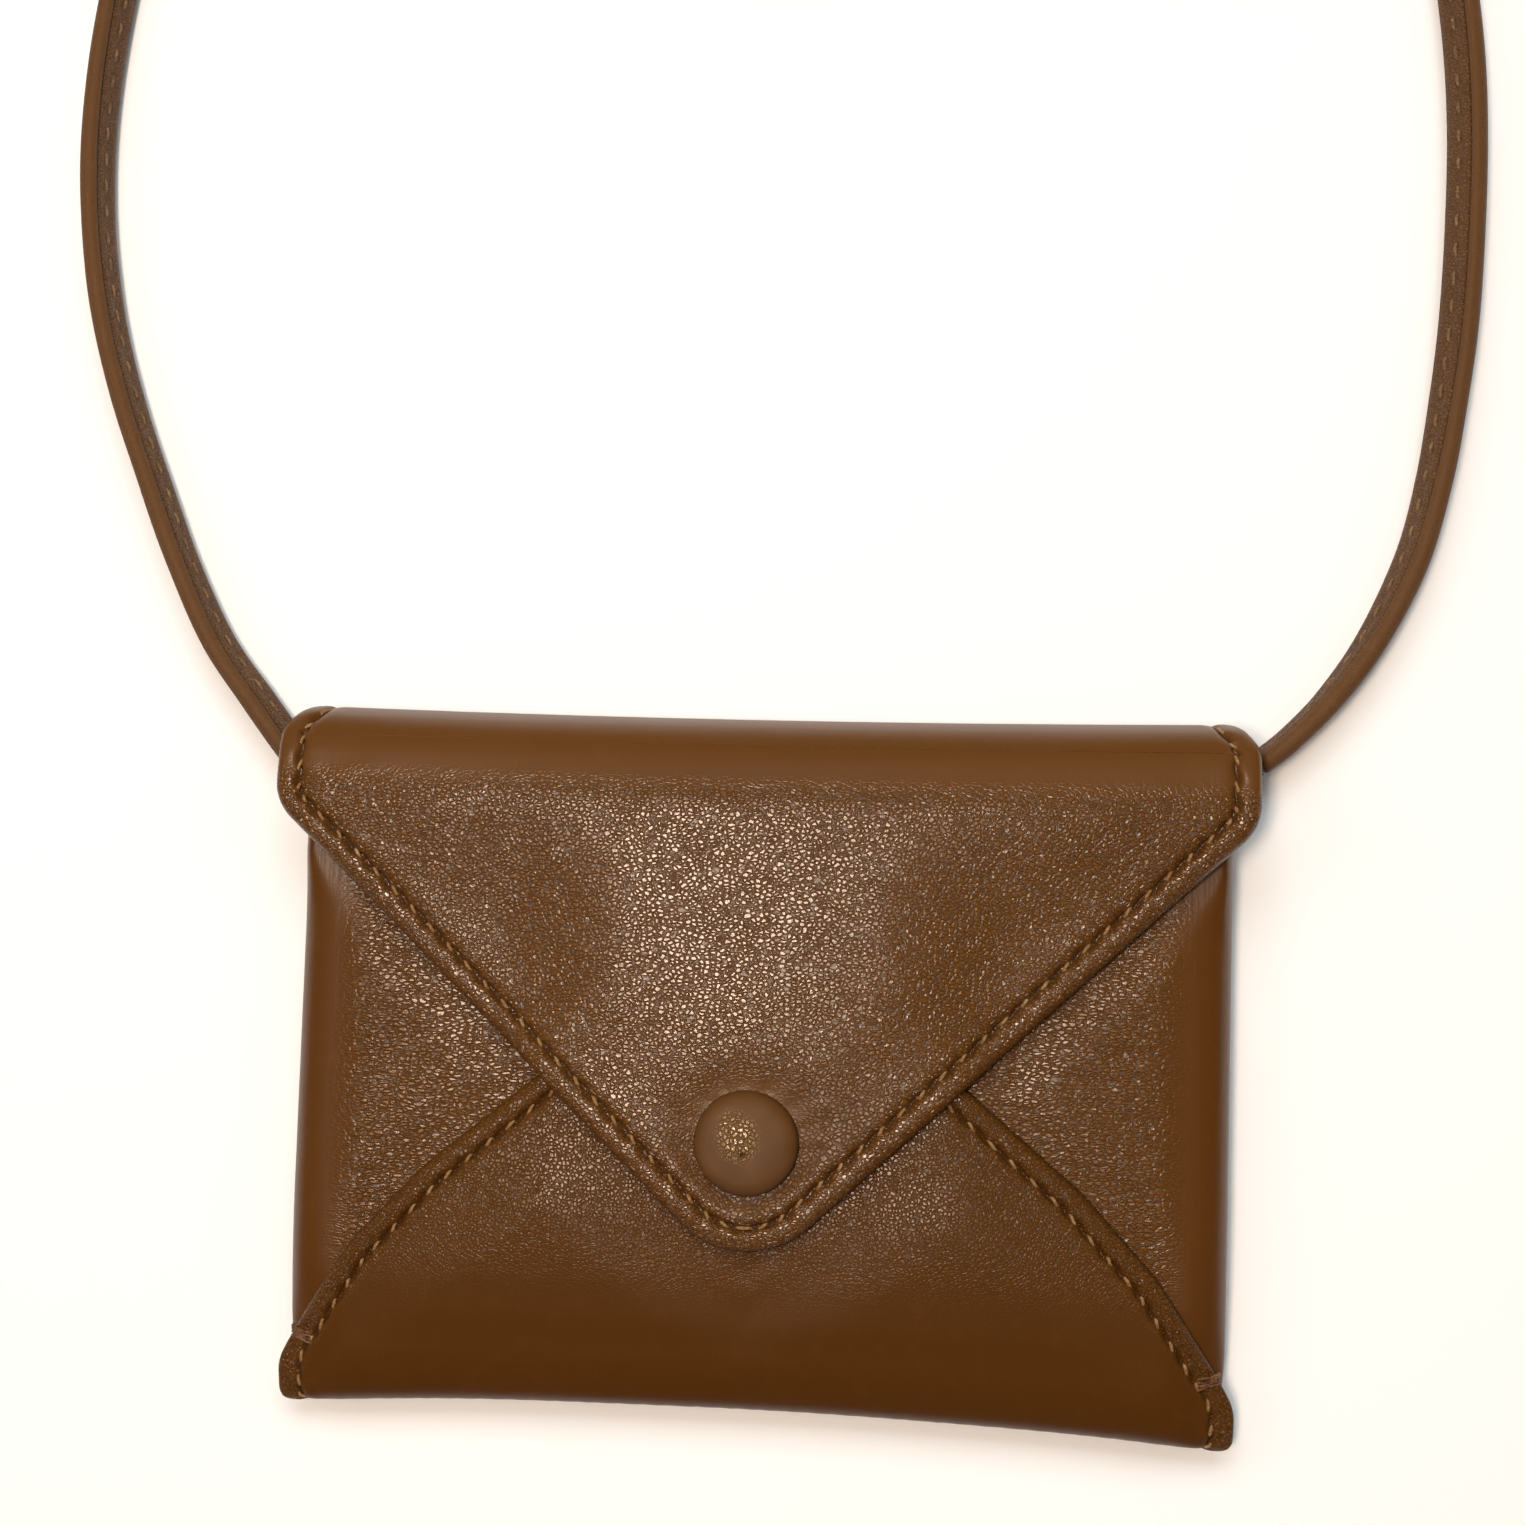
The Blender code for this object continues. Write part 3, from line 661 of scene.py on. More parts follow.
def strap_mesh(name, line, leans):
    """The section swept along a line, swelling a little here and there, as sewn leather does."""
    thick_way, tall_way = strap_frames(line, leans)
    steps = np.arange(len(line))
    wobble = 1.0 + 0.025 * np.sin(steps * 0.37) * np.sin(steps * 0.11 + 1.0)
    points = []
    for centre, thick, tall, swell in zip(line, thick_way, tall_way, wobble):
        points.extend(centre + swell * across * thick + height * tall for across, height in STRAP_SECTION)
    sides = len(STRAP_SECTION)
    faces = ring_faces(len(line), sides)
    faces.append(list(range(sides)))
    faces.append(list(range(len(points) - 1, len(points) - sides - 1, -1)))
    # The groove under the bead is marked as seam and painted darker: painted shade.
    groove = [float(corner == STRAP_GROOVE) for corner in STRAP_SECTION]
    # The bead and the outer face count as stretched, so they are also painted darker, as painted shade.
    bead = [0.7 if height > 1.3 or across > 0 else 0.0 for across, height in STRAP_SECTION]
    marks = {"seam": np.tile(groove, len(line)), "stretch": np.tile(bead, len(line))}
    return add_piece(name, points, faces, strap_leather, marks)


strap = strap_mesh("neck_strap", strap_line, strap_lean(strap_along))

# %% [markdown]
# The strap's seam: one line of stitches along the middle of its inner face, about 3.4 mm apart.
# Each stitch is a small grain of thread that dives into its hole at both ends.

# %% Strap stitches


def strap_point(along, across, height):
    """A point on the strap at a distance along it, in its own section's directions."""
    ways = (strap_line, strap_thick, strap_tall)
    centre, thick, tall = (at_lengths(way, strap_along, along) for way in ways)
    return centre + across * thick + height * tall


STRAP_PITCH = 3.4
STRAP_GRAIN = ((-0.95, -0.85, 0.1), (-0.6, -1.08, 0.19), (0.0, -1.16, 0.22), (0.6, -1.08, 0.19),
               (0.95, -0.85, 0.1))
strap_thick, strap_tall = strap_frames(strap_line, strap_lean(strap_along))
strap_grains = [
    [(strap_point(index * STRAP_PITCH + ahead, across, -0.35 + 0.06 * ahead), radius)
     for ahead, across, radius in STRAP_GRAIN]
    for index in range(2, int(strap_length / STRAP_PITCH) - 1)
]
strap_stitches = tube_bundle("strap_stitches", strap_grains, strap_thread, sides=6)

# %% [markdown]
# The tie that holds the coil is a short strip of the same leather, wrapped round the bundle and tucked
# under itself. It is made as a closed band, a little slack, with a soft doubled edge.

# %% Coil tie
tie_low, tie_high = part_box("strap_tie")
tie_middle = (tie_low + tie_high) / 2 / MM
tie_half = (tie_high - tie_low) / 2 / MM
TIE_ACROSS = np.array([-1.0, -0.93, -0.75, -0.3, 0.3, 0.75, 0.93, 1.0])
TIE_CROWN = np.array([-0.28, -0.06, 0.0, 0.02, 0.02, 0.0, -0.06, -0.28])
TIE_THICKNESS = 0.58


def tie_face(crown):
    """One face of the band: turns round the bundle, squared off by drawing sine and cosine outward."""
    turns = np.linspace(0.0, 2 * math.pi, 49)[:, None]
    side_way, up_way = (np.sign(way) * np.abs(way) ** 0.42 for way in (np.cos(turns), np.sin(turns)))
    return np.stack(np.broadcast_arrays(
        tie_middle.x + TIE_ACROSS * tie_half.x,
        tie_middle.y + side_way * (tie_half.y + crown),
        tie_middle.z + up_way * (tie_half.z + crown),
    ), axis=-1)


tie_outer = tie_face(TIE_CROWN)
tie_inner = tie_face(np.full(len(TIE_ACROSS), -TIE_THICKNESS))
# The whole tie counts as a little stretched, so it is painted a little darker, as painted shade.
tie_band = leather_shell("coil_tie", tie_outer, tie_inner, strap_leather,
                         {"stretch": np.full(tie_outer.shape[:2], 0.4)})
print("tie size in mm:", [round(2 * side, 1) for side in tie_half])

# %% [markdown]
# The sewn-in ends of the strap turn flat between the layers, where nobody sees them except from inside.

# %% Strap ends, and all strap pieces hung on the pouch
END_STEPS = np.linspace(0.0, 12.6, 15)
END_GAP = 0.2
END_LEAN = 87.0
for side, route, lean in (("left", STRAP_LEFT, LEFT_END_LEAN), ("right", STRAP_RIGHT, RIGHT_END_LEAN)):
    first, second = np.array(route[:2])
    heading = (second - first) / np.linalg.norm(second - first)
    end_line = first - heading * (END_GAP + END_STEPS[:, None])
    end_line[:, 2] += 0.7 * ease(END_STEPS, 1.0, 8.0)
    leans = lean + (END_LEAN - lean) * ease(END_STEPS, 0.5, 8.0)
    strap_end = strap_mesh(f"strap_end_{side}", end_line[::-1], leans[::-1])
    dress(strap_end, "strap_leather", "pouch", f"strap_{side}_end")

dress(strap, "strap_leather", "pouch", "strap_left_run", "strap_right_run", "strap_coil")
dress(strap_stitches, "thread", "pouch")
dress(tie_band, "strap_leather", "pouch", "strap_tie")
print("strap declared:", round(strap_length * MM, 3), "m")

# %% [markdown]
# The pouch body. Its layers are drawn flat and then shaped by three soft rolls: over the mouth at the
# top, round both sides, and under the bottom edge. Two small corrections follow, because a soft pouch is
# never quite straight: the bottom edge bows up in the middle, and the lower corners are pinched thin
# where front and back are sewn together.

# %% Body measures
BODY_HALF = 54.7
FOLD_START = 35.5
FOLD_REACH = 5.5
FOLD_HEIGHT = 11.0
SIDE_REACH = 5.0
WING_HEIGHT = 7.7
BOTTOM_START = 34.0
BOTTOM_REACH = 7.0
POCKET_HEIGHT = 9.0
PITCH = 3.1
# The rim's profile: how far in from the edge, and how high over the panel. The low point is the groove.
RIM_SHAPE = np.array([
    (0.0, -0.5), (0.08, -0.25), (0.22, -0.02), (0.42, 0.18), (0.7, 0.32), (1.05, 0.39), (1.45, 0.42),
    (1.85, 0.41), (2.15, 0.36), (2.4, 0.24), (2.6, 0.0), (2.78, -0.36), (2.95, -0.32), (3.12, 0.0),
    (3.3, 0.2), (3.55, 0.3), (3.9, 0.36), (4.35, 0.4),
])
RIM_INSETS = RIM_SHAPE[:, 0]
FLAP_SHOULDER = (57.1, 29.4)
FLAP_TIP = -24.3


def shaped(x, y, z):
    """The last corrections to any point of the body: bowed edges and pinched corners."""
    middle = 1.0 - np.clip(np.abs(x) / 55.0, 0.0, 1.0) ** 2
    z = z * (1.0 - 0.30 * ease(-y, 15.0, 41.0) - 0.10 * ease(y, 29.0, 41.0))
    y = y + 1.9 * middle * ease(-y, 18.0, 40.0) - 0.6 * middle * ease(y, 22.0, 40.0)
    pinch = 0.5 * ease(np.abs(x), 46.5, 55.0) * ease(-y, 24.0, 36.0)
    z = 2.9 + (z - 2.9) * (1.0 - pinch)
    return np.stack([x, y, z], axis=-1)


def flap_edge_distance(x, y):
    """How far a point is outside the flap's slanting edge: negative under the flap."""
    slope = (FLAP_SHOULDER[1] - FLAP_TIP) / FLAP_SHOULDER[0]
    return ((FLAP_TIP + slope * np.abs(x)) - y) / math.hypot(1.0, slope) + 0.6


def nearest(x, y, line):
    """Distance from each point of a grid to the nearest point of a line."""
    best = np.full(x.shape, 1e9)
    for point_x, point_y in line:
        best = np.minimum(best, np.hypot(x - point_x, y - point_y))
    return best


def panel_grid(line, inward, across):
    """A symmetric panel drawn flat: rim columns on the right, rows across, rim columns on the left.

    Returns each point's place and its distance in from the edge.
    """
    rim_x = line[:, :1] + inward[:, :1] * RIM_INSETS
    rim_y = line[:, 1:] + inward[:, 1:] * RIM_INSETS
    share = np.linspace(1.0, -1.0, across + 1)[1:-1]
    x = np.concatenate([rim_x, rim_x[:, -1:] * share, -rim_x[:, ::-1]], axis=1)
    y = np.concatenate([rim_y, np.repeat(rim_y[:, -1:], len(share), axis=1), rim_y[:, ::-1]], axis=1)
    both_edges = np.concatenate([line, line * np.array([-1.0, 1.0])])
    inside = nearest(x, y, both_edges[::2])
    rim_columns = len(RIM_INSETS)
    distance = np.concatenate([np.tile(RIM_INSETS, (len(line), 1)),
                               np.maximum(inside[:, rim_columns:-rim_columns], RIM_INSETS[-1]),
                               np.tile(RIM_INSETS[::-1], (len(line), 1))], axis=1)
    return x, y, distance


def rim_height(distance, along, amount=1.0):
    """The rolled rim, the sewn groove and the scallops that the stitches pull into it."""
    near_groove = np.exp(-((distance - 2.8) / 0.4) ** 2)
    near_rim = np.exp(-((distance - 1.7) / 0.6) ** 2)
    stitch = np.cos(2 * math.pi * along / PITCH)
    askew = 0.2 * np.sin(2 * math.pi * along / PITCH) * np.exp(-((distance - 2.75) / 0.7) ** 2)
    height = np.interp(distance + askew, RIM_SHAPE[:, 0], RIM_SHAPE[:, 1])
    height = height + 0.13 * stitch * near_groove - 0.05 * stitch * near_rim
    return np.where(height > 0.0, height * amount, height)


def edge_roundness(distance):
    """How deep the inner face of a panel lies: the leather's thickness, rounded at the cut edge."""
    return np.interp(distance, (0.0, 0.08, 0.22, 0.42, 0.7), (0.5, 0.72, 0.86, 0.95, 1.0))


# Painted shade in a seam: strongest in the groove's awl holes between the stitches.
def seam_shade_mark(distance, along):
    stitch = 0.5 - 0.5 * np.cos(2 * math.pi * along / PITCH)
    askew = 0.2 * np.sin(2 * math.pi * along / PITCH)
    return np.clip(np.exp(-((distance + askew - 2.85) / 0.25) ** 2) * (0.45 + 0.7 * stitch), 0.0, 1.0)


# %% [markdown]
# The flap and the fold are one piece of leather on the real pouch: down the front to a rounded tip, over
# the mouth and into the back. They are drawn as one flat panel and cut half-way round the fold, where two
# joints of the frame meet, so the two parts still meet each other there.

# %% Flap outline
fold_length = float(roll_length(FOLD_REACH, FOLD_HEIGHT))
FOLD_MIDDLE = FOLD_START + fold_length / 2
FOLD_END = FOLD_START + fold_length
flap_side = [(53.3, FOLD_END, 0.0), (54.3, FOLD_MIDDLE + 0.6, 3.0), (FLAP_SHOULDER[0], 38.6, 4.0),
             (*FLAP_SHOULDER, 6.0)]
flap_corners = [(-x, y, radius) for x, y, radius in flap_side] + [(0.0, FLAP_TIP, 10.4)] + flap_side[::-1]
flap_line = soft_line(flap_corners, 0.5)
flap_right = flap_line[len(flap_line) // 2:]
flap_along = line_lengths(flap_right)
flap_inward = sideways(flap_right, 1)
flap_inward[0] = (0.0, 1.0)
cut_row = int(np.argmin(np.abs(flap_right[:, 1] - FOLD_MIDDLE)))
flap_right[cut_row, 1] = FOLD_MIDDLE
flap_inward[cut_row - 3:] = (-1.0, 0.0)
print("flap edge in mm:", round(flap_along[-1]), "from the tip to the back, cut at row", cut_row)

# %% Flap and fold shells
flap_x, flap_v, flap_d = panel_grid(flap_right, flap_inward, 120)
flap_s = np.repeat(flap_along[:, None], flap_x.shape[1], axis=1)
SNAP_PLACE = (0.0, -8.0)


def flap_relief(x, v, distance, along):
    """Height of the flap's outer face over its plain sheet."""
    over = 1.0 - ease(v, 31.0, 42.0)
    height = rim_height(distance, along)
    height = height + over * (0.35 * ease(distance, 4.3, 14.0) + 0.5 * ease(distance, 8.0, 26.0))
    from_snap = np.hypot(x - SNAP_PLACE[0], v - SNAP_PLACE[1])
    height = height - 0.75 * np.exp(-(np.maximum(from_snap - 5.4, 0.0) / 3.0) ** 2) * ease(distance, 3.6, 6.0)
    bearing = np.arctan2(v - SNAP_PLACE[1], x - SNAP_PLACE[0])
    pucker_window = ease(from_snap, 5.6, 6.6) * (1.0 - ease(from_snap, 7.5, 13.0)) * ease(distance, 3.4, 5.0)
    height = height + 0.055 * np.sin(15.0 * bearing + 0.8 * np.sin(3.0 * bearing)) * pucker_window
    slow = np.sin(x / 15.0 + 0.7) * np.sin(v / 12.0 + 0.4) + 0.6 * np.sin(x / 7.0 - v / 9.0)
    return height + 0.10 * slow * over * ease(distance, 4.0, 14.0)


def flap_sag(x, v):
    """The flap's outer parts sink towards the wings, where no pocket lies under them."""
    off_pocket = ease(np.abs(x) - (24.0 - (v + 2.4) * 1.1), -4.0, 14.0)
    return 1.2 * off_pocket * (1.0 - ease(v, 16.0, 33.0)) * ease(np.abs(x), 14.0, 30.0)


def on_flap(x, v, depth):
    y, z = roll_over(v, FOLD_START, FOLD_REACH, FOLD_HEIGHT, depth)
    return shaped(x, y, z - flap_sag(x, v))


flap_outer = on_flap(flap_x, flap_v, -flap_relief(flap_x, flap_v, flap_d, flap_s))
flap_inner = on_flap(flap_x, flap_v, edge_roundness(flap_d))
# The hide is pulled smooth over the fold and just above the snap, where its colour is also painted darker as
# painted shade, and it is duller round the tip.
flap_stretch_and_shade = 0.97 * ease(flap_v, 31.5, 35.0)
from_snap = np.hypot(flap_x, flap_v - SNAP_PLACE[1])
snap_pull_and_shade = 0.8 * np.exp(-((from_snap - 6.6) / 1.7) ** 2) * ease(flap_v - SNAP_PLACE[1], -1.0, 5.0)
flap_stretch_and_shade = np.maximum(flap_stretch_and_shade, snap_pull_and_shade * ease(flap_d, 3.0, 4.5))
near_tip = np.exp(-(((flap_x - 5.0) / 16.0) ** 2 + ((flap_v + 11.0) / 10.5) ** 2) ** 2)
flap_dull = near_tip * ease(flap_d, 3.0, 5.0)
flap_marks = {"stretch": flap_stretch_and_shade, "dull": flap_dull, "seam": seam_shade_mark(flap_d, flap_s)}
upper = slice(0, cut_row + 1)
lower = slice(cut_row, len(flap_right))
flap_piece = leather_shell("flap_leather_panel", flap_outer, flap_inner, flap_leather, flap_marks, upper,
                           folded_tip=True)
fold_piece = leather_shell("fold_leather_panel", flap_outer, flap_inner, flap_leather, flap_marks, lower)

# %% [markdown]
# The flap's lining is a thin twill glued inside the leather, cut a little smaller than the rim's seam.
# It goes over the fold with the leather, on the inside, so it is also cut at the same place.

# %% Flap and fold linings
inset = len(RIM_INSETS) - 3
lining_columns = slice(inset, flap_x.shape[1] - inset)
lining_x = flap_x[:, lining_columns]
lining_v = flap_v[:, lining_columns]
lining_front = on_flap(lining_x, lining_v, np.full(lining_x.shape, 1.3))
lining_back = on_flap(lining_x, lining_v, 1.7 + 0.04 * np.sin(lining_x / 3.0) * np.sin(lining_v / 2.6))
flap_cloth = leather_shell("flap_lining_cloth", lining_front, lining_back, twill_lining, rows=upper,
                           folded_tip=True)
short = slice(cut_row, len(flap_right) - 4)
fold_cloth = leather_shell("fold_lining_cloth", lining_front, lining_back, twill_lining, rows=short)

# %% [markdown]
# Stitches. Each one is a short grain of thread, thicker in the middle, that lies a little askew in the
# groove and goes down into the leather at both ends. The gaps between them are the awl holes, which the
# groove's own scallops and the seam's painted shade already show.

# %% Stitch maker


# A grain's shape: how far along from its middle, how deep in the leather, and its radius.
THREAD_GRAIN = ((-1.0, 0.60, 0.10), (-0.85, 0.20, 0.17), (-0.45, -0.04, 0.21), (0.0, -0.1, 0.22),
                (0.45, -0.04, 0.21), (0.85, 0.20, 0.17), (1.0, 0.60, 0.10))


def stitches_along(line, inward, lengths, first, last, inset_distance, place, seed):
    """Grains of thread along a rim, one each pitch, mapped to the shaped panel by place(x, v, depth)."""
    random = np.random.default_rng(seed)
    grains = []
    for index in range(math.ceil(first / PITCH), math.floor(last / PITCH) + 1):
        slant = 0.28 + 0.06 * random.standard_normal()
        reach = 0.86 + 0.08 * random.standard_normal()
        grain = []
        for share, depth, radius in THREAD_GRAIN:
            distance = index * PITCH + share * reach
            way = at_lengths(inward, lengths, distance)
            x, v = at_lengths(line, lengths, distance) + way * (inset_distance + slant * share)
            grain.append((place(x, v, depth), radius))
        grains.append(grain)
    return grains


def mirrored(grains, side=-1.0):
    flip = np.array([side, 1.0, 1.0])
    return [[(point * flip, radius) for point, radius in grain] for grain in grains]


cut_length = flap_along[cut_row]
THREAD_INSET = 2.82
flap_rim = (flap_right, flap_inward, flap_along)
front_grains = stitches_along(*flap_rim, 1.0, cut_length - 1.4, THREAD_INSET, on_flap, 11)
fold_grains = stitches_along(*flap_rim, cut_length + 0.9, flap_along[-1] - 2.0, THREAD_INSET, on_flap, 13)
# The middle grain lies across the tip itself, so it is turned level.
tip_grain = stitches_along(*flap_rim, 0.0, 0.1, THREAD_INSET, on_flap, 12)
tip_grain = [[(np.array([share, flap_right[0, 1] + 2.85, point[2]]), radius)
              for share, (point, radius) in zip((-1.0, -0.8, -0.4, 0.0, 0.4, 0.8, 1.0), tip_grain[0])]]
flap_stitches = tube_bundle("flap_stitches", front_grains + mirrored(front_grains) + tip_grain, waxed_thread)
fold_stitches = tube_bundle("fold_stitches", fold_grains + mirrored(fold_grains), waxed_thread)

# %% Put the flap and fold pieces in place and hide their plain solids
mouth_back = (0.0, FOLD_START * MM, 0.0)
mouth_middle = (0.0, (FOLD_START + FOLD_REACH) * MM, FOLD_HEIGHT / 2 * MM)
mouth_front = (0.0, FOLD_START * MM, FOLD_HEIGHT * MM)
flap_bend = {"a": "fold", "b": "flap", "start": mouth_middle, "end": mouth_front}
fold_bend = {"a": "pouch", "b": "fold", "start": mouth_back, "end": mouth_middle}
dress(flap_piece, "leather", flap_bend, "flap_panel")
dress(flap_cloth, "lining", flap_bend, "flap_lining")
dress(flap_stitches, "thread", flap_bend, "flap_thread")
dress(fold_piece, "leather", fold_bend, "fold_panel")
dress(fold_cloth, "lining", fold_bend, "fold_lining")
dress(fold_stitches, "thread", fold_bend)
print("flap and fold meet at height", round(flap_outer[cut_row, 60, 2], 2), "mm")

# %% [markdown]
# The front pocket is the lower triangle of the envelope. Its two slanting seams run from under the flap
# to small sewn tabs at the lower corners, and its bottom edge rolls under to become the back.
# It swells a little where nothing presses on it, so its height also depends on the flap's edge above.

# %% Front pocket
bottom_length = float(roll_length(BOTTOM_REACH, POCKET_HEIGHT))
BOTTOM_MIDDLE = BOTTOM_START + bottom_length / 2
BOTTOM_END = BOTTOM_START + bottom_length
pocket_corners = [
    (6.0, 15.0, 0.0), (26.0, -2.4, 12.0), (38.0, -12.4, 20.0), (46.5, -21.6, 20.0), (52.6, -31.0, 8.0),
    (55.7, -36.0, 5.0), (55.7, -BOTTOM_MIDDLE + 1.5, 3.5), (52.9, -BOTTOM_MIDDLE - 3.0, 4.0),
    (51.4, -BOTTOM_END, 0.0),
]
pocket_right = soft_line(pocket_corners, 0.5)
pocket_along = line_lengths(pocket_right)
pocket_inward = sideways(pocket_right, -1)
pocket_turn = ease(-pocket_right[:, 1], 31.0, 35.0)[:, None]
pocket_inward = pocket_inward * (1.0 - pocket_turn) + np.array([-1.0, 0.0]) * pocket_turn
pocket_inward /= np.linalg.norm(pocket_inward, axis=1)[:, None]
pocket_inward[0] = pocket_inward[1]
pocket_x, pocket_v, pocket_d = panel_grid(pocket_right, pocket_inward, 110)
pocket_s = np.repeat(pocket_along[:, None], pocket_x.shape[1], axis=1)


def pocket_relief(x, v, distance, along):
    from_flap = flap_edge_distance(x, v)
    open_air = ease(from_flap, -0.5, 2.5)
    flat_front = 1.0 - ease(-v, 29.0, 38.0)
    height = rim_height(distance * 1.08, along, 0.35 + 0.55 * open_air)
    height = height + 0.75 * ease(from_flap, 1.5, 13.0) * ease(distance, 4.0, 13.0) * flat_front
    slow = np.sin(x / 11.0 + 1.7) * np.sin(v / 8.0) + 0.5 * np.sin(x / 6.0 + v / 5.0)
    height = height + 0.07 * slow * ease(from_flap, 2.0, 10.0) * ease(distance, 4.0, 10.0)
    gather = np.sin(x * 2.3 + 1.2 * np.sin(x / 3.1)) * ease(-v, 30.0, 38.0) * ease(distance, 3.5, 6.0)
    return height + 0.02 * gather


def on_pocket(x, v, depth):
    out, z = roll_over(-v, BOTTOM_START, BOTTOM_REACH, POCKET_HEIGHT, depth)
    return shaped(x, -out, z)


pocket_outer = on_pocket(pocket_x, pocket_v, -pocket_relief(pocket_x, pocket_v, pocket_d, pocket_s))
pocket_inner = on_pocket(pocket_x, pocket_v, edge_roundness(pocket_d))
# Towards the bottom the pocket counts as stretched, so it is painted darker there: painted shade.
pocket_stretch_and_shade = 0.96 * ease(-pocket_v, 12.0, 31.0) * ease(pocket_d, 1.5, 4.5)
pocket_piece = leather_shell("pocket_leather_panel", pocket_outer, pocket_inner, shaded_pocket_leather,
                             {"stretch": pocket_stretch_and_shade, "seam": seam_shade_mark(pocket_d * 1.08, pocket_s)})
dress(pocket_piece, "leather", "pouch", "front_pocket")

# %% [markdown]
# The pocket's seams and the corner tacks. At the top of each corner tab the maker wraps the thread over
# the edge a few times, so that the seam can't open where the hand pulls it.

# %% Pocket stitches and corner tacks
# A tack strand's path: how far in from the edge, and how deep in the leather.
TACK_PATH = ((-0.12, 1.0), (-0.1, 0.5), (0.1, 0.05), (0.5, -0.32), (1.1, -0.56), (1.7, -0.5), (2.2, -0.25),
             (2.6, 0.1), (2.75, 0.6))
TACK_STEP = 0.36
TACK_RADIUS = 0.2
TACK_Y = -33.0
pocket_grains = stitches_along(pocket_right, pocket_inward, pocket_along, 2.0, pocket_along[-1] - 6.0, 2.62,
                               on_pocket, 21)
tack_row = int(np.argmin(np.abs(pocket_right[:, 1] - TACK_Y)))
tack_strands = []
for strand in range(4):
    strand_points = []
    for distance, depth in TACK_PATH:
        x, v = pocket_right[tack_row] + pocket_inward[tack_row] * distance
        v = v + (strand - 1.5) * TACK_STEP + 0.08 * math.sin(distance * 2 + strand)
        strand_points.append((on_pocket(x, v, depth), TACK_RADIUS))
    tack_strands.append(strand_points)
for side, mirror in (("left", -1.0), ("right", 1.0)):
    seam_piece = tube_bundle(f"pocket_stitches_{side}", mirrored(pocket_grains, mirror), waxed_thread)
    tack_piece = tube_bundle(f"corner_tack_thread_{side}", mirrored(tack_strands, mirror), tack_thread)
    dress(seam_piece, "thread", "pouch", f"pocket_thread_{side}")
    dress(tack_piece, "thread", "pouch", f"corner_tack_{side}")

# %% [markdown]
# The wings are the two side triangles, folded in from the sides and tucked under the pocket. Their grain
# runs in fine level creases, and towards the outer edge the leather is drawn smooth round the side roll.

# %% Wings


def wing_inner_edge(y):
    """How near the middle a wing reaches at each height: its tip stays clear of the snap."""
    return np.interp(y, (-38.8, -9.0, 4.0, 34.0), (50.0, 10.0, 10.0, 46.0))


def side_reach(y):
    return SIDE_REACH - 3.4 * ease(y, 19.0, 30.0)


WING_LOW = -37.6
WING_HIGH = 33.6


def wing_grid():
    """A wing drawn flat: where its points are, and where and how far its side roll reaches."""
    rows = np.linspace(WING_LOW, WING_HIGH, 150)
    reach = side_reach(rows)[:, None]
    start = BODY_HALF - reach
    inner = np.minimum(wing_inner_edge(rows)[:, None], start - 0.5)
    flat_u = inner + (start - inner) * np.linspace(0.0, 1.0, 61)
    round_u = start + roll_length(reach, WING_HEIGHT) * np.linspace(0.0, 1.0, 37)[1:]
    u = np.concatenate([flat_u, round_u], axis=1)
    top = np.interp(u, (46.0, 54.0), (WING_HIGH, 27.6))
    y = WING_LOW + (rows[:, None] - WING_LOW) * (top - WING_LOW) / (WING_HIGH - WING_LOW)
    return u, y, start, reach


def wing_relief(u, y):
    seam_x = np.interp(y, (-31.0, -21.6, -12.4, -2.4), (52.6, 46.5, 38.0, 26.0))
    from_seam = (u - seam_x) * 0.72
    from_flap = flap_edge_distance(u, y)
    free = ease(from_seam, 0.5, 7.0) * ease(from_flap, 0.5, 7.0)
    flat = 1.0 - ease(u, 46.0, 51.0)
    height = 0.55 * free * flat
    creases = np.sin(y * 1.9 + 1.1 * np.sin(u / 4.0) + 0.9 * np.sin(y / 2.7 + u / 9.0))
    creases = creases * (0.5 + 0.5 * np.sin(u / 6.0 + y / 3.3))
    return height + 0.035 * creases * free * flat


wing_u, wing_y, wing_start, wing_reach = wing_grid()
# The side roll counts as stretched, so it is painted darker: painted shade.
wing_stretch_and_shade = 0.95 * ease(wing_u, 45.0, 50.5)
tucked = 0.3 * ease(-wing_y, 30.0, 36.0)
for side, mirror in (("left", -1.0), ("right", 1.0)):
    faces_out = []
    for depth in (-wing_relief(wing_u, wing_y), np.full(wing_u.shape, 0.85)):
        out, z = roll_over(wing_u, wing_start, wing_reach, WING_HEIGHT, depth)
        bottom_lift = ease(-wing_y, 30.5, 37.0) * ease(4.5 - z, 0.0, 4.5)
        faces_out.append(shaped(mirror * (out - tucked), wing_y + 2.6 * bottom_lift, z))
    wing = leather_shell(f"wing_panel_{side}", *faces_out, wing_leather, {"stretch": wing_stretch_and_shade})
    dress(wing, "leather", "pouch", f"wing_{side}")

# %% [markdown]
# The back is one plain panel between the rolls. It lies on the table, so it is nearly flat, with the
# slight hollows that any soft panel has. Its edges meet the rolls of the wings, the pocket and the fold.

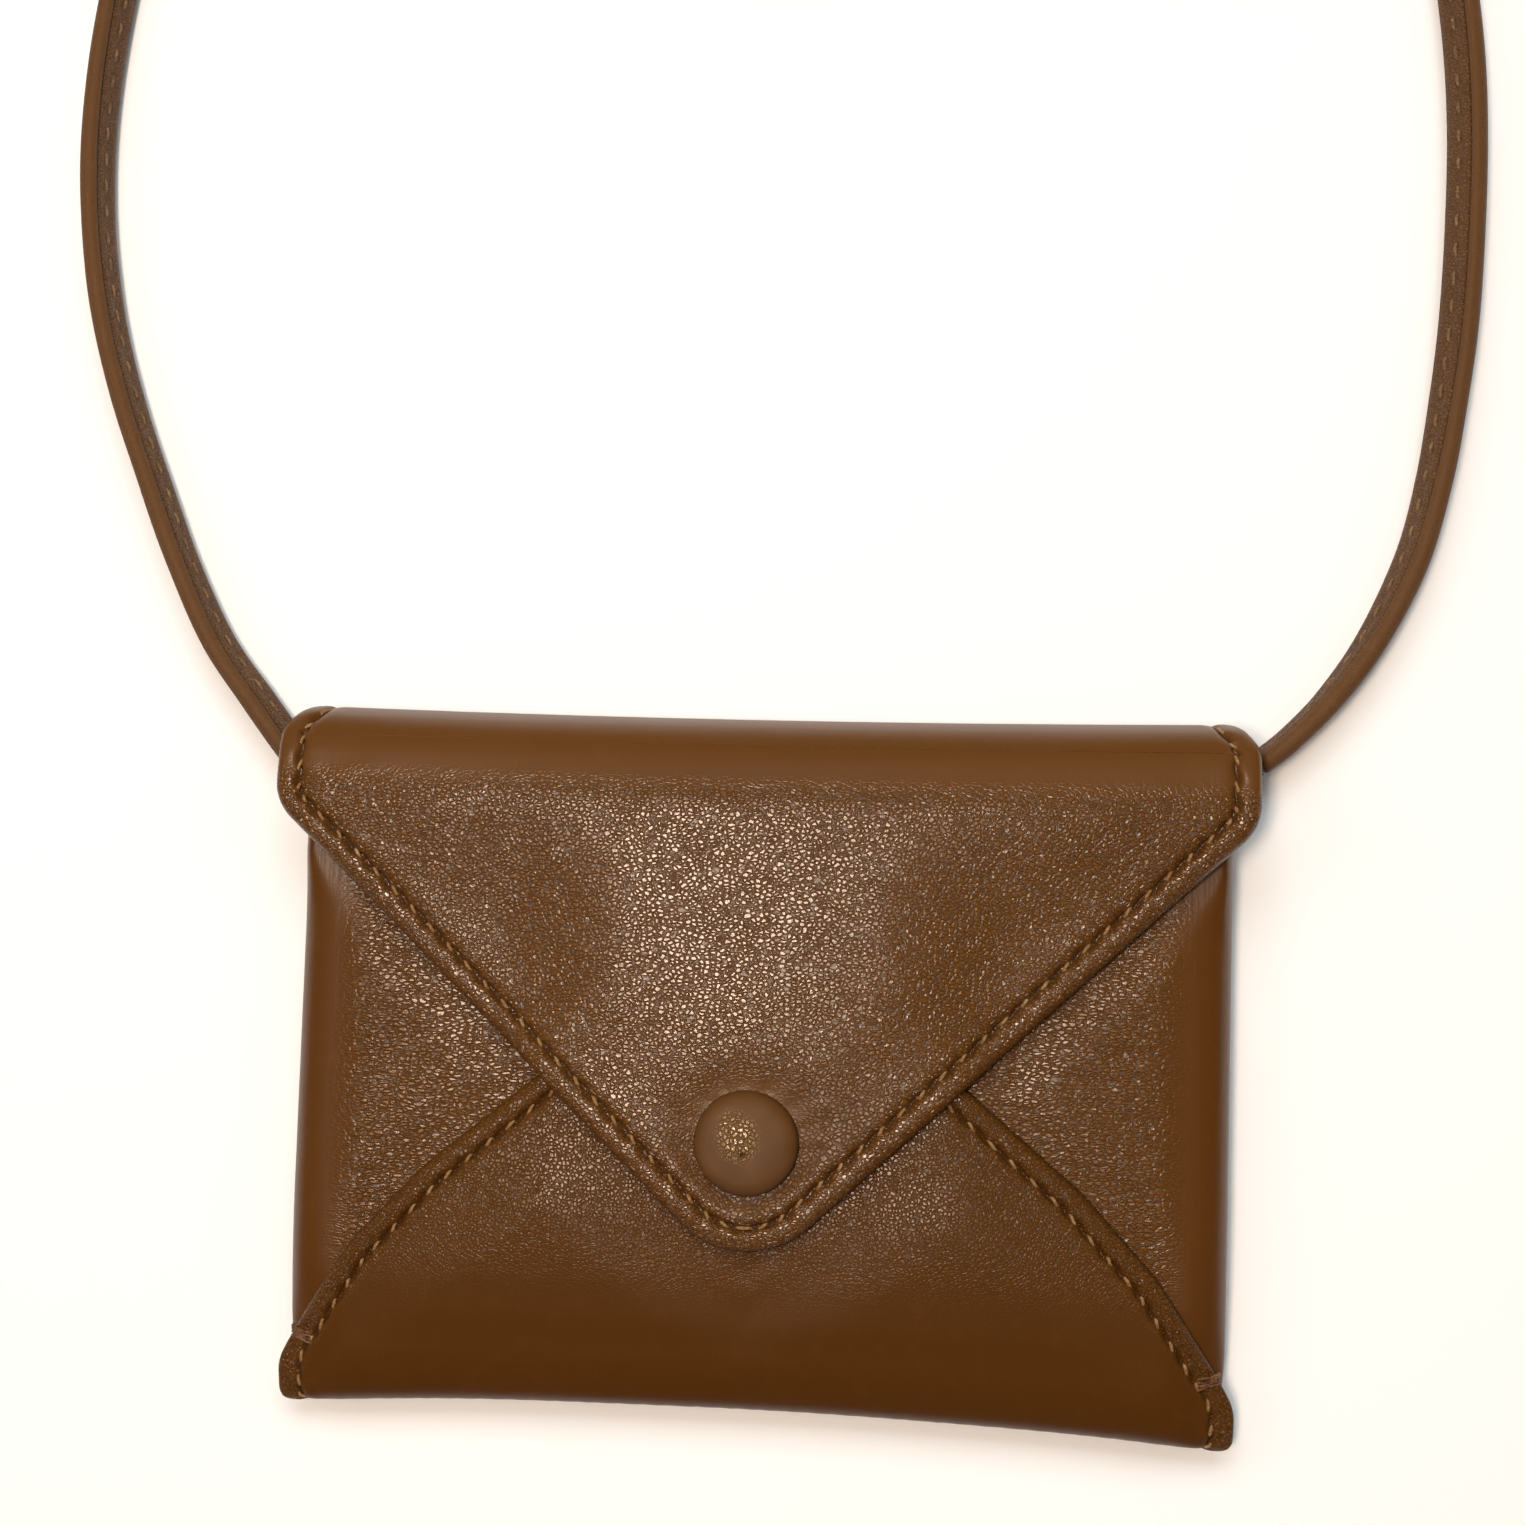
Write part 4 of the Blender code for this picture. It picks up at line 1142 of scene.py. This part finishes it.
# %% Back panel
back_rows = np.linspace(-BOTTOM_START, FOLD_START, 71)
back_half = BODY_HALF - side_reach(back_rows) + 0.05
back_share = np.linspace(1.0, -1.0, 101)
back_x = back_half[:, None] * back_share
back_y = np.repeat(back_rows[:, None], len(back_share), axis=1)
from_ends = np.minimum(back_y + BOTTOM_START, FOLD_START - back_y)
from_edge = np.minimum(back_half[:, None] - np.abs(back_x), from_ends)
back_hollow = 0.09 * (1.0 + np.sin(back_x / 9.0) * np.sin(back_y / 7.0)) * ease(from_edge, 0.0, 5.0)
back_outer = shaped(back_x, back_y, back_hollow)
back_inner = shaped(back_x, back_y, np.full(back_x.shape, 1.0))
back_piece = leather_shell("back_leather_panel", back_inner, back_outer, back_leather)
dress(back_piece, "leather", "pouch", "back_panel")

# %% [markdown]
# The two linings of the card space are thin cloth glued to the leather. Cloth this size always keeps a
# few soft ripples, so the sheets are rippled very slightly between their faces.

# %% Card space linings


def lining_sheet(node_name, phase):
    """A rippled sheet in its node's place, cut clear of the seams and shaped like the rest of the body."""
    low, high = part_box(node_name)
    low = low / MM + Vector((1.6, 3.6, 0.0))
    high = high / MM - Vector((1.6, 0.4, 0.0))
    y, x = np.meshgrid(np.linspace(low.y, high.y, 70), np.linspace(1.0, -1.0, 90), indexing="ij")
    x = x * (high.x - 2.2 * ease(-y, 24.0, 36.0))
    edge = np.minimum(high.x - np.abs(x), np.minimum(y - low.y, high.y - y))
    ripple = 0.05 * ease(edge, 0.0, 6.0) * np.sin(x / 5.0 + phase) * np.sin(y / 4.0 + 0.3 * np.sin(x / 7.0))
    upper_face = shaped(x, y, high.z - 0.05 + ripple)
    lower_face = shaped(x, y, low.z + 0.05 + ripple)
    piece = leather_shell(f"{node_name}_cloth", upper_face, lower_face, twill_lining)
    dress(piece, "lining", "pouch", node_name)


lining_sheet("back_lining", 0.3)
lining_sheet("front_lining", 1.9)

# %% [markdown]
# The snap's cap is a low painted dome, pressed over the leather. Years of opening have rubbed the paint
# off near the crown and left one small pit, so the dome carries a wear mark for its paint to use, and a
# pit mark that paints the pit almost black as painted shade.

# %% Snap cap
CAP_CROWN = [(radius, 13.16 - 0.43 * (radius / 4.6) ** 2.6) for radius in np.linspace(0.0, 4.6, 28)]
CAP_SIDE = [
    (5.1, 12.54), (5.45, 12.34), (5.72, 12.08), (5.9, 11.78), (5.98, 11.45), (6.0, 11.1), (5.9, 10.9),
    (5.6, 10.75), (3.0, 10.7), (0.0, 10.7),
]
CAP_PROFILE = CAP_CROWN + CAP_SIDE
CAP_SIDES = 96
cap_points = []
cap_wear = []
cap_pit_shade = []
for radius, height in CAP_PROFILE:
    for side in range(CAP_SIDES):
        angle = 2 * math.pi * side / CAP_SIDES
        x = radius * math.cos(angle)
        y = radius * math.sin(angle)
        patch = math.exp(-(((x + 0.85) / 2.5) ** 2 + ((y - 0.7) / 2.9) ** 2) ** 1.5)
        streak = math.exp(-(((x + 1.2 + 0.4 * (y - 1.5)) / 1.0) ** 2 + ((y - 2.0) / 1.6) ** 2))
        dent = math.exp(-(((x + 0.18) / 0.34) ** 2 + ((y + 1.16) / 0.28) ** 2))
        uneven = 0.03 * math.sin(1.3 * x + 0.4) * math.sin(1.1 * y - 0.7)
        outside = 1.0 if height > 11.6 else 0.0
        cap_points.append((x, y + SNAP_PLACE[1], height - outside * (0.16 * dent + 0.05 * patch - uneven)))
        cap_wear.append(outside * min(1.0, 0.75 * patch + 0.5 * streak))
        cap_pit_shade.append(outside * dent)
cap_piece = add_piece("snap_cap_dome", cap_points, ring_faces(len(CAP_PROFILE), CAP_SIDES), cap_paint,
                      {"wear": cap_wear, "dent": cap_pit_shade})
dress(cap_piece, "painted_cap", "flap", "snap_cap")

# %% [markdown]
# The snap's socket, stud, post and backing are small turned brass parts whose shapes are already right,
# so they stay as they are and only get their metal.

# %% Brass parts
brass_names = ("snap_socket", "snap_stud", "snap_post", "snap_backing")
for node_name in brass_names:
    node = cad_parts[node_name]
    node.data.materials.clear()
    node.data.materials.append(snap_brass)
print("brass parts:", len(brass_names))

# %% [markdown]
# The table is a plain pale sheet. A broad window beyond the pouch's top edge and two weak fills light the
# room, and they leave no sheen. All the sheen comes from one warm panel overhead, because the swell of the
# flap only shows when a single light glides over the grain.

# %% Table and lights
table_material = blank_material("pale_table", (0.93, 0.93, 0.93), 0.9)[0]
bpy.ops.mesh.primitive_plane_add(size=3.0, location=(0.0, 0.05, -0.0002))
table = bpy.context.object
table.name = "table_top"
table.data.materials.append(table_material)


def soft_light(name, place, target, size, power, colour):
    light = bpy.data.lights.new(name, "AREA")
    light.shape = "RECTANGLE"
    light.size = size[0]
    light.size_y = size[1]
    light.energy = power
    light.color = colour
    holder = bpy.data.objects.new(name, light)
    bpy.context.scene.collection.objects.link(holder)
    holder.location = place
    holder.rotation_euler = (Vector(target) - Vector(place)).to_track_quat("-Z", "Y").to_euler()
    return holder


WARM_COLOUR = (1.0, 0.80, 0.63)
SKY_COLOUR = (0.92, 0.97, 1.0)
soft_light("overhead_panel", (-0.095, 0.02, 0.62), (-0.01, 0.0, 0.0), (0.21, 0.11), 2.6, WARM_COLOUR)
window = soft_light("window", (0.0, 0.85, 0.95), (0.0, 0.0, 0.0), (1.0, 0.6), 9.6, (0.90, 0.97, 1.0))
window.visible_glossy = False
window.visible_camera = False
for fill_name, side, power in (("left_fill", -1.0, 0.8), ("right_fill", 1.0, 0.55)):
    fill = soft_light(fill_name, (0.60 * side, 0.20, 0.50), (0.0, 0.0, 0.0), (0.4, 0.4), power, SKY_COLOUR)
    fill.visible_glossy = False
world = bpy.data.worlds.new("studio")
bpy.context.scene.world = world
world.cycles_visibility.glossy = False
world.use_nodes = True
background = world.node_tree.nodes["Background"].inputs
background["Color"].default_value = (1.0, 0.985, 0.965, 1.0)
background["Strength"].default_value = 0.14
bpy.context.scene.view_settings.view_transform = "Standard"

# %% Update the scene
bpy.context.view_layer.update()
